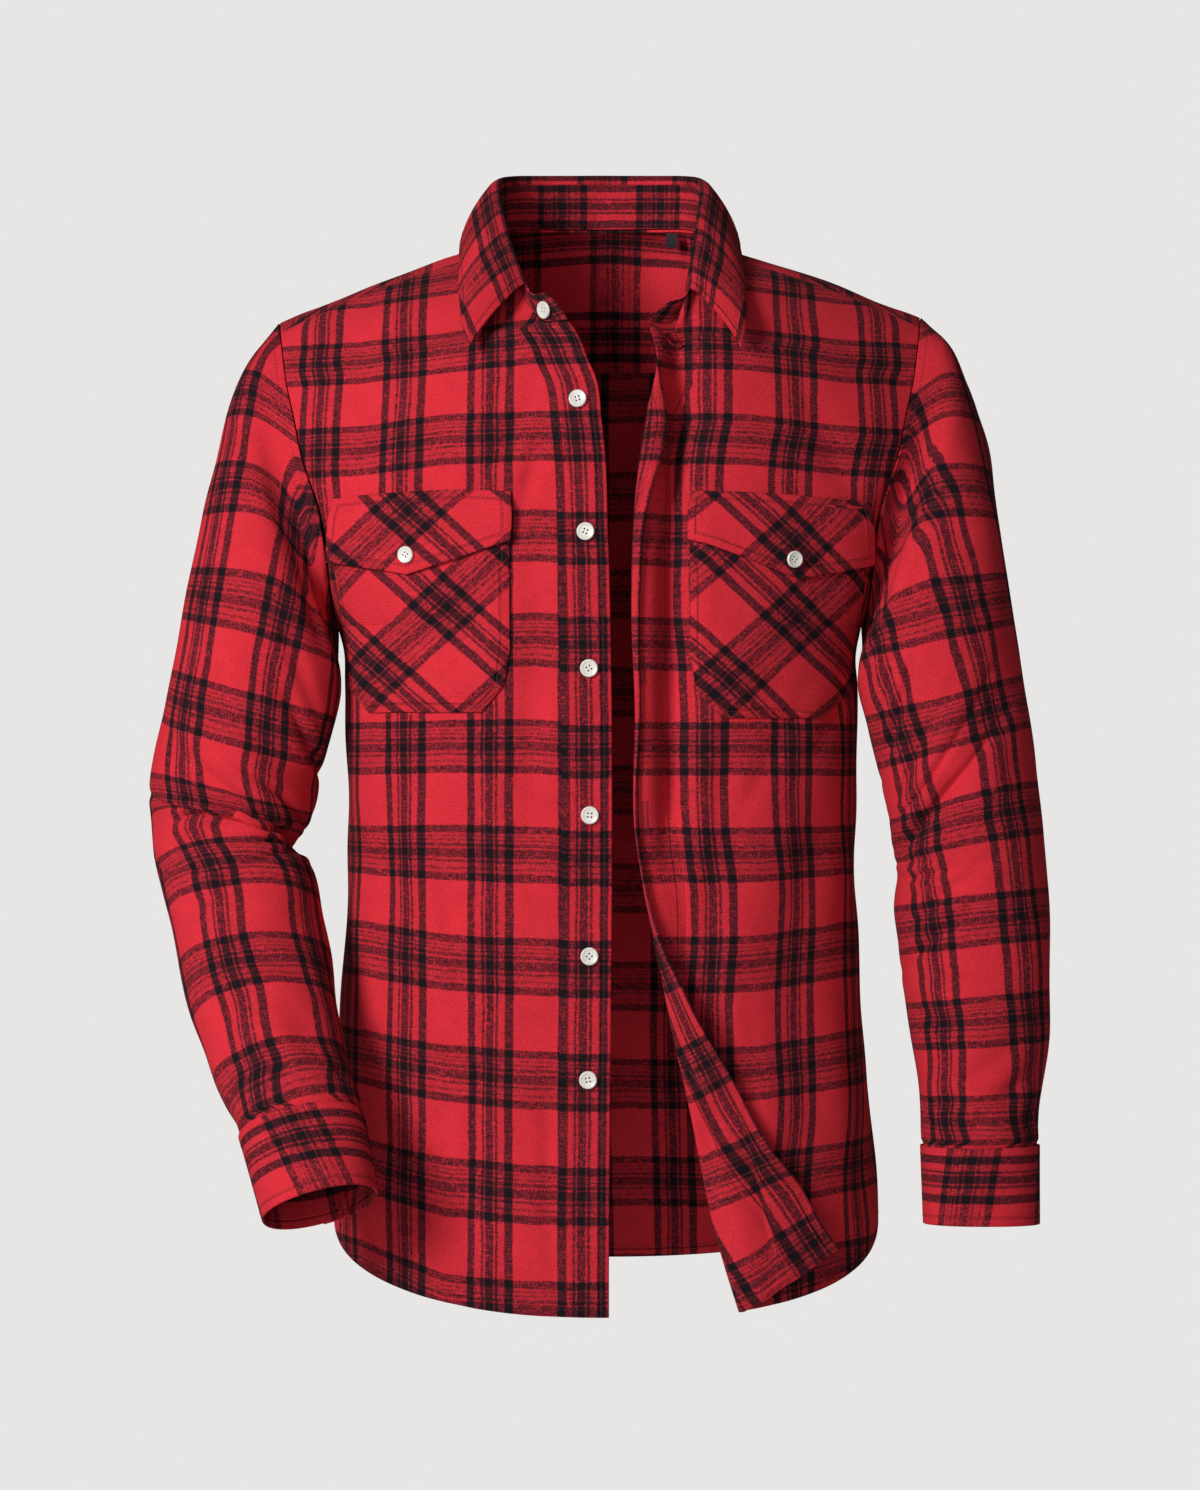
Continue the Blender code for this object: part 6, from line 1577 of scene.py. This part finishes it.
class SHIRT_OT_back(bpy.types.Operator):
    """The back, from side seam to side seam"""

    bl_idname = "shirt.back"
    bl_label = "Back"

    def execute(self, context):
        net = back_rows(panel_rows(BACK_ABOVE), int(0.60 / SPACING))
        net = rippled(pressed(net, -normals_of(net), BACK_CREASES))
        check = back_check(net)
        net = pulled_back(net, rows=(0, 0.5))
        face = -normals_of(net)
        lines = sewn_lines(net, face, ("first",), HEM_STITCH, (1, -1))
        lines += sewn_lines(net, face, ("last",), SEAM_STITCH, (-1,))
        cloth("back", net, check, -1, lines, rims=("first",))
        return {"FINISHED"}


class SHIRT_OT_yoke(bpy.types.Operator):
    """The yoke over both shoulders"""

    bl_idname = "shirt.yoke"
    bl_label = "Yoke"

    def execute(self, context):
        net = rippled(yoke_net(), 0.0003)
        check = yoke_check(net)
        net = pulled_back(net, rows=(0, -4))
        face, sign = facing(net, (0, 0, -0.2))
        lines = sewn_lines(net, face, (("first", 0, 0.335), ("first", 0.665, 1)), YOKE_STITCH)
        lines += sewn_lines(net, face, ("last",), YOKE_STITCH, (1, -1))
        cloth("yoke", net, check, sign, lines, thick=settings().cloth_thickness * 1.15)
        return {"FINISHED"}


class SHIRT_OT_collar(bpy.types.Operator):
    """The collar stand and the leaf that folds over it"""

    bl_idname = "shirt.collar"
    bl_label = "Collar"

    def execute(self, context):
        net = stand_net()
        check = stand_check(net)
        net = pulled_back(net, rows=(0, 0.5), columns=(0, 0))
        face, sign = facing(net, (0, 0, 0.03))
        lines = sewn_lines(net, -face, ("first", "left", "right"), STAND_STITCH, (1, -1))
        cloth("collar_stand", net, check, sign, lines, rims=("left", "right"))
        net = leaf_net()
        check = leaf_check(net)
        net = pulled_back(net, rows=(0.5, 0), columns=(0, 0))
        face, sign = facing(net, (0, 0, 0), rows=slice(-12, None))
        lines = sewn_lines(net, face, ("last", ("left", 0.42, 1), ("right", 0.42, 1)), LEAF_STITCH)
        cloth("collar_leaf", net, check, sign, lines, rims=("last", "left", "right"))
        return {"FINISHED"}


class SHIRT_OT_sleeves(bpy.types.Operator):
    """Both sleeves, from armhole to cuff"""

    bl_idname = "shirt.sleeves"
    bl_label = "Sleeves"

    def execute(self, context):
        turns = np.linspace(180, 540, int(0.33 / SPACING))
        rings = np.concatenate([np.linspace(0, 1, 12)[:-1], np.linspace(1, SLEEVE_END, int(0.64 / SPACING)),
                                SLEEVE_END + TUCK_RINGS * np.arange(1, 4)])
        for side, hand in SIDES:
            net = rippled(sleeve_loops(side, rings, turns), 0.0005, closed=True)
            check = sleeve_check(side, net, turns)
            net = pulled_back(net, columns=(0, 0))
            face, sign = facing(net, net.mean(axis=1, keepdims=True), True)
            lines = sewn_lines(net, face, ("first",), PLACKET_STITCH)
            cloth("sleeve_" + hand, net, check, sign, lines, closed=True)
        return {"FINISHED"}


class SHIRT_OT_cuffs(bpy.types.Operator):
    """Both cuffs, lapped at the outer back, with their buttons"""

    bl_idname = "shirt.cuffs"
    bl_label = "Cuffs"

    def execute(self, context):
        for side, hand in SIDES:
            net, turns = cuff_net(side)
            check = cuff_check(side, net, turns)
            net = pulled_back(net, rows=(0.5, 0), columns=(0, 0))
            face, sign = facing(net, net.mean(axis=1, keepdims=True))
            lines = sewn_lines(net, face, ("first", "last", "right"), EDGE_STITCH)
            cloth("cuff_" + hand, net, check, sign, lines, rims=("first", "last", "left", "right"))
            _, k = nearest(net, "cuff_button_" + hand)
            spot = net[k] + face[k] * (settings().cloth_thickness / 2 + SEAM_GAP)
            button("cuff_button_" + hand, spot, face[k], CUFF_BUTTON_RADIUS, 20)
        return {"FINISHED"}


class SHIRT_OT_pockets(bpy.types.Operator):
    """Both chest pockets with their flaps and buttons"""

    bl_idname = "shirt.pockets"
    bl_label = "Pockets"

    def execute(self, context):
        for side, hand in SIDES:
            for name, (net, check), under, edges in (
                    ("pocket_", pocket_net(side), "front_", ("last", "left", "right")),
                    ("pocket_flap_", flap_net(side), "pocket_", ("first", "last", "left", "right"))):
                face, sign = facing(net, (0, 0, net[0, 0, 2]))
                lines = sewn_lines(net, face, edges, EDGE_STITCH)
                cloth(name + hand, net, check, sign, lines, rims=edges)
            tip = float(POCKET_FLAP[side]["foot"][2]) + FLAP_BUTTON_ABOVE_TIP
            lift = (LAYER + POCKET_PUFF) * 2 + CLOTH / 2 + SEAM_GAP
            spot, further = (front(side).over(side * FLAP_BUTTON_X, tip, lift + more) for more in (0, 0.01))
            button("pocket_button_" + hand, spot, unit(further - spot), FLAP_BUTTON_RADIUS, 35)
        return {"FINISHED"}


class SHIRT_OT_buttons(bpy.types.Operator):
    """The seven front buttons, one on the collar stand and six on the placket"""

    bl_idname = "shirt.buttons"
    bl_label = "Buttons"

    def execute(self, context):
        surface = front(RIGHT)
        heights = surface.at(surface.rows, BUTTON_INSET)[0][:, 2]
        for number, height in enumerate(BUTTON_HEIGHTS, 2):
            row = float(np.interp(height, heights, surface.rows))
            spot, face = surface.at(row, BUTTON_INSET)
            button("button_%d" % number, spot + face * (PLACKET_THICK / 2 + SEAM_GAP), face, BUTTON_RADIUS,
                   (number * 37) % 90)
        net = stand_net()
        middle, k = nearest(net, "button_1")
        out = normals_of(net)[k]
        out = out if out[1] < 0 else -out
        button("button_1", middle - out * BUTTON_THICK / 2, out, BUTTON_RADIUS, 15)
        return {"FINISHED"}


class SHIRT_OT_label(bpy.types.Operator):
    """The small bare label inside the back of the neck"""

    bl_idname = "shirt.label"
    bl_label = "Label"

    def execute(self, context):
        width, height = LABEL_SIZE
        middle = neck_line(LEFT, LABEL_WAY)
        way = unit(neck_line(LEFT, LABEL_WAY - 0.02) - neck_line(LEFT, LABEL_WAY + 0.02))
        inward = unit(-middle * (1, 1, 0))
        top = middle + inward * 0.0034 - np.array([0, 0, 0.0022])
        across, down = np.linspace(-0.5, 0.5, 15), np.linspace(0, 1, 14)
        net = np.array([[top + way * width * a + unit(np.array([0.0, 0.22, -1.0])) * height * b
                         + inward * 0.0006 * math.sin(b * math.pi) for a in across] for b in down])
        check = np.stack(np.meshgrid(across * width, down * height), axis=-1)
        face, sign = facing(net, (0, 0, -0.05))
        lines = sewn_lines(net, face, (("first", 0.06, 0.94),), LABEL_STITCH, (-1, 1), LABEL_THICK)
        cloth("neck_label", net, check, -sign, lines, thick=LABEL_THICK, turned_in=0.002,
              pitch=0.0018, finish=label_satin)
        return {"FINISHED"}


class SHIRT_OT_stage(bpy.types.Operator):
    """Floor, soft studio light and camera"""

    bl_idname = "shirt.stage"
    bl_label = "Stage"

    def execute(self, context):
        scene, s = context.scene, context.scene.shirt_stage
        mesh = bmesh.new()
        bmesh.ops.create_circle(mesh, cap_ends=True, segments=96, radius=1.9,
                                matrix=Matrix.Translation((0, 0, s.floor_height)))
        floor = shown("floor", mesh, material(studio_paper))

        world = bpy.data.worlds.new("studio")
        scene.world = world
        world.use_nodes = True
        nodes, links = world.node_tree.nodes, world.node_tree.links
        nodes.clear()
        seen, soft, both, path, end = (nodes.new("ShaderNode" + kind) for kind in (
            "Background", "Background", "MixShader", "LightPath", "OutputWorld"))
        seen.inputs[0].default_value = (0.799, 0.791, 0.783, 1)
        soft.inputs[0].default_value, soft.inputs[1].default_value = (1, 0.99, 0.98, 1), s.fill
        links.new(path.outputs["Is Camera Ray"], both.inputs[0])
        links.new(soft.outputs[0], both.inputs[1])
        links.new(seen.outputs[0], both.inputs[2])
        links.new(both.outputs[0], end.inputs[0])
        scene.view_settings.view_transform = "Standard"

        def area(name, place, size, power, tint=(1, 1, 1)):
            """A square soft light, aimed at the middle of the shirt."""
            lamp = bpy.data.lights.new(name, "AREA")
            lamp.energy, lamp.size, lamp.color = power, size, tint
            node = bpy.data.objects.new(name, lamp)
            node.location = place
            node.rotation_euler = (Vector((0, 0, -0.35)) - Vector(place)).to_track_quat("-Z", "Y").to_euler()
            scene.collection.objects.link(node)

        area("key", (-1.40, -1.92, 0.40), 0.75, s.key_power, (1, 0.985, 0.96))
        area("front_fill", (-0.2, -2.5, -0.3), 1.0, s.key_power * 0.17)
        camera = bpy.data.objects.new("camera", bpy.data.cameras.new("camera"))
        camera.location = (0.0, -2.4, -0.3715)
        camera.rotation_euler = (math.pi / 2, 0, 0)
        camera.data.lens, camera.data.sensor_width, camera.data.sensor_fit = s.lens, 36.0, "AUTO"
        camera.data.dof.use_dof = False
        scene.collection.objects.link(camera)
        scene.camera = camera
        return {"FINISHED"}


PIECES = (SHIRT_OT_fronts, SHIRT_OT_back, SHIRT_OT_yoke, SHIRT_OT_collar, SHIRT_OT_sleeves, SHIRT_OT_cuffs,
          SHIRT_OT_pockets, SHIRT_OT_buttons, SHIRT_OT_label, SHIRT_OT_stage)


class SHIRT_PT_sidebar(bpy.types.Panel):
    """Lists the shirt's sizes and pieces"""

    bl_label = "Flannel Shirt"
    bl_idname = "SHIRT_PT_sidebar"
    bl_space_type = "VIEW_3D"
    bl_region_type = "UI"
    bl_category = "Shirt"

    def draw(self, context):
        for group in (context.scene.shirt, context.scene.shirt_stage):
            box = self.layout.box()
            for name in group.bl_rna.properties.keys():
                if name not in ("rna_type", "name"):
                    box.prop(group, name)
        for piece in PIECES:
            self.layout.operator(piece.bl_idname, text=piece.bl_label)


CLASSES = (ShirtSettings, StageSettings, *PIECES, SHIRT_PT_sidebar)


def register():
    """Adds the settings, operators and panel."""
    for kind in CLASSES:
        bpy.utils.register_class(kind)
    bpy.types.Scene.shirt = PointerProperty(type=ShirtSettings)
    bpy.types.Scene.shirt_stage = PointerProperty(type=StageSettings)


def unregister():
    """Takes them away again."""
    del bpy.types.Scene.shirt, bpy.types.Scene.shirt_stage
    for kind in reversed(CLASSES):
        bpy.utils.unregister_class(kind)


def main():
    """Makes every piece in order."""
    register()
    bpy.ops.shirt.stage()
    bpy.ops.shirt.fronts()
    bpy.ops.shirt.back()
    bpy.ops.shirt.yoke()
    bpy.ops.shirt.collar()
    bpy.ops.shirt.sleeves()
    bpy.ops.shirt.cuffs()
    bpy.ops.shirt.pockets()
    bpy.ops.shirt.buttons()
    bpy.ops.shirt.label()


if __name__ == "__main__":
    main()
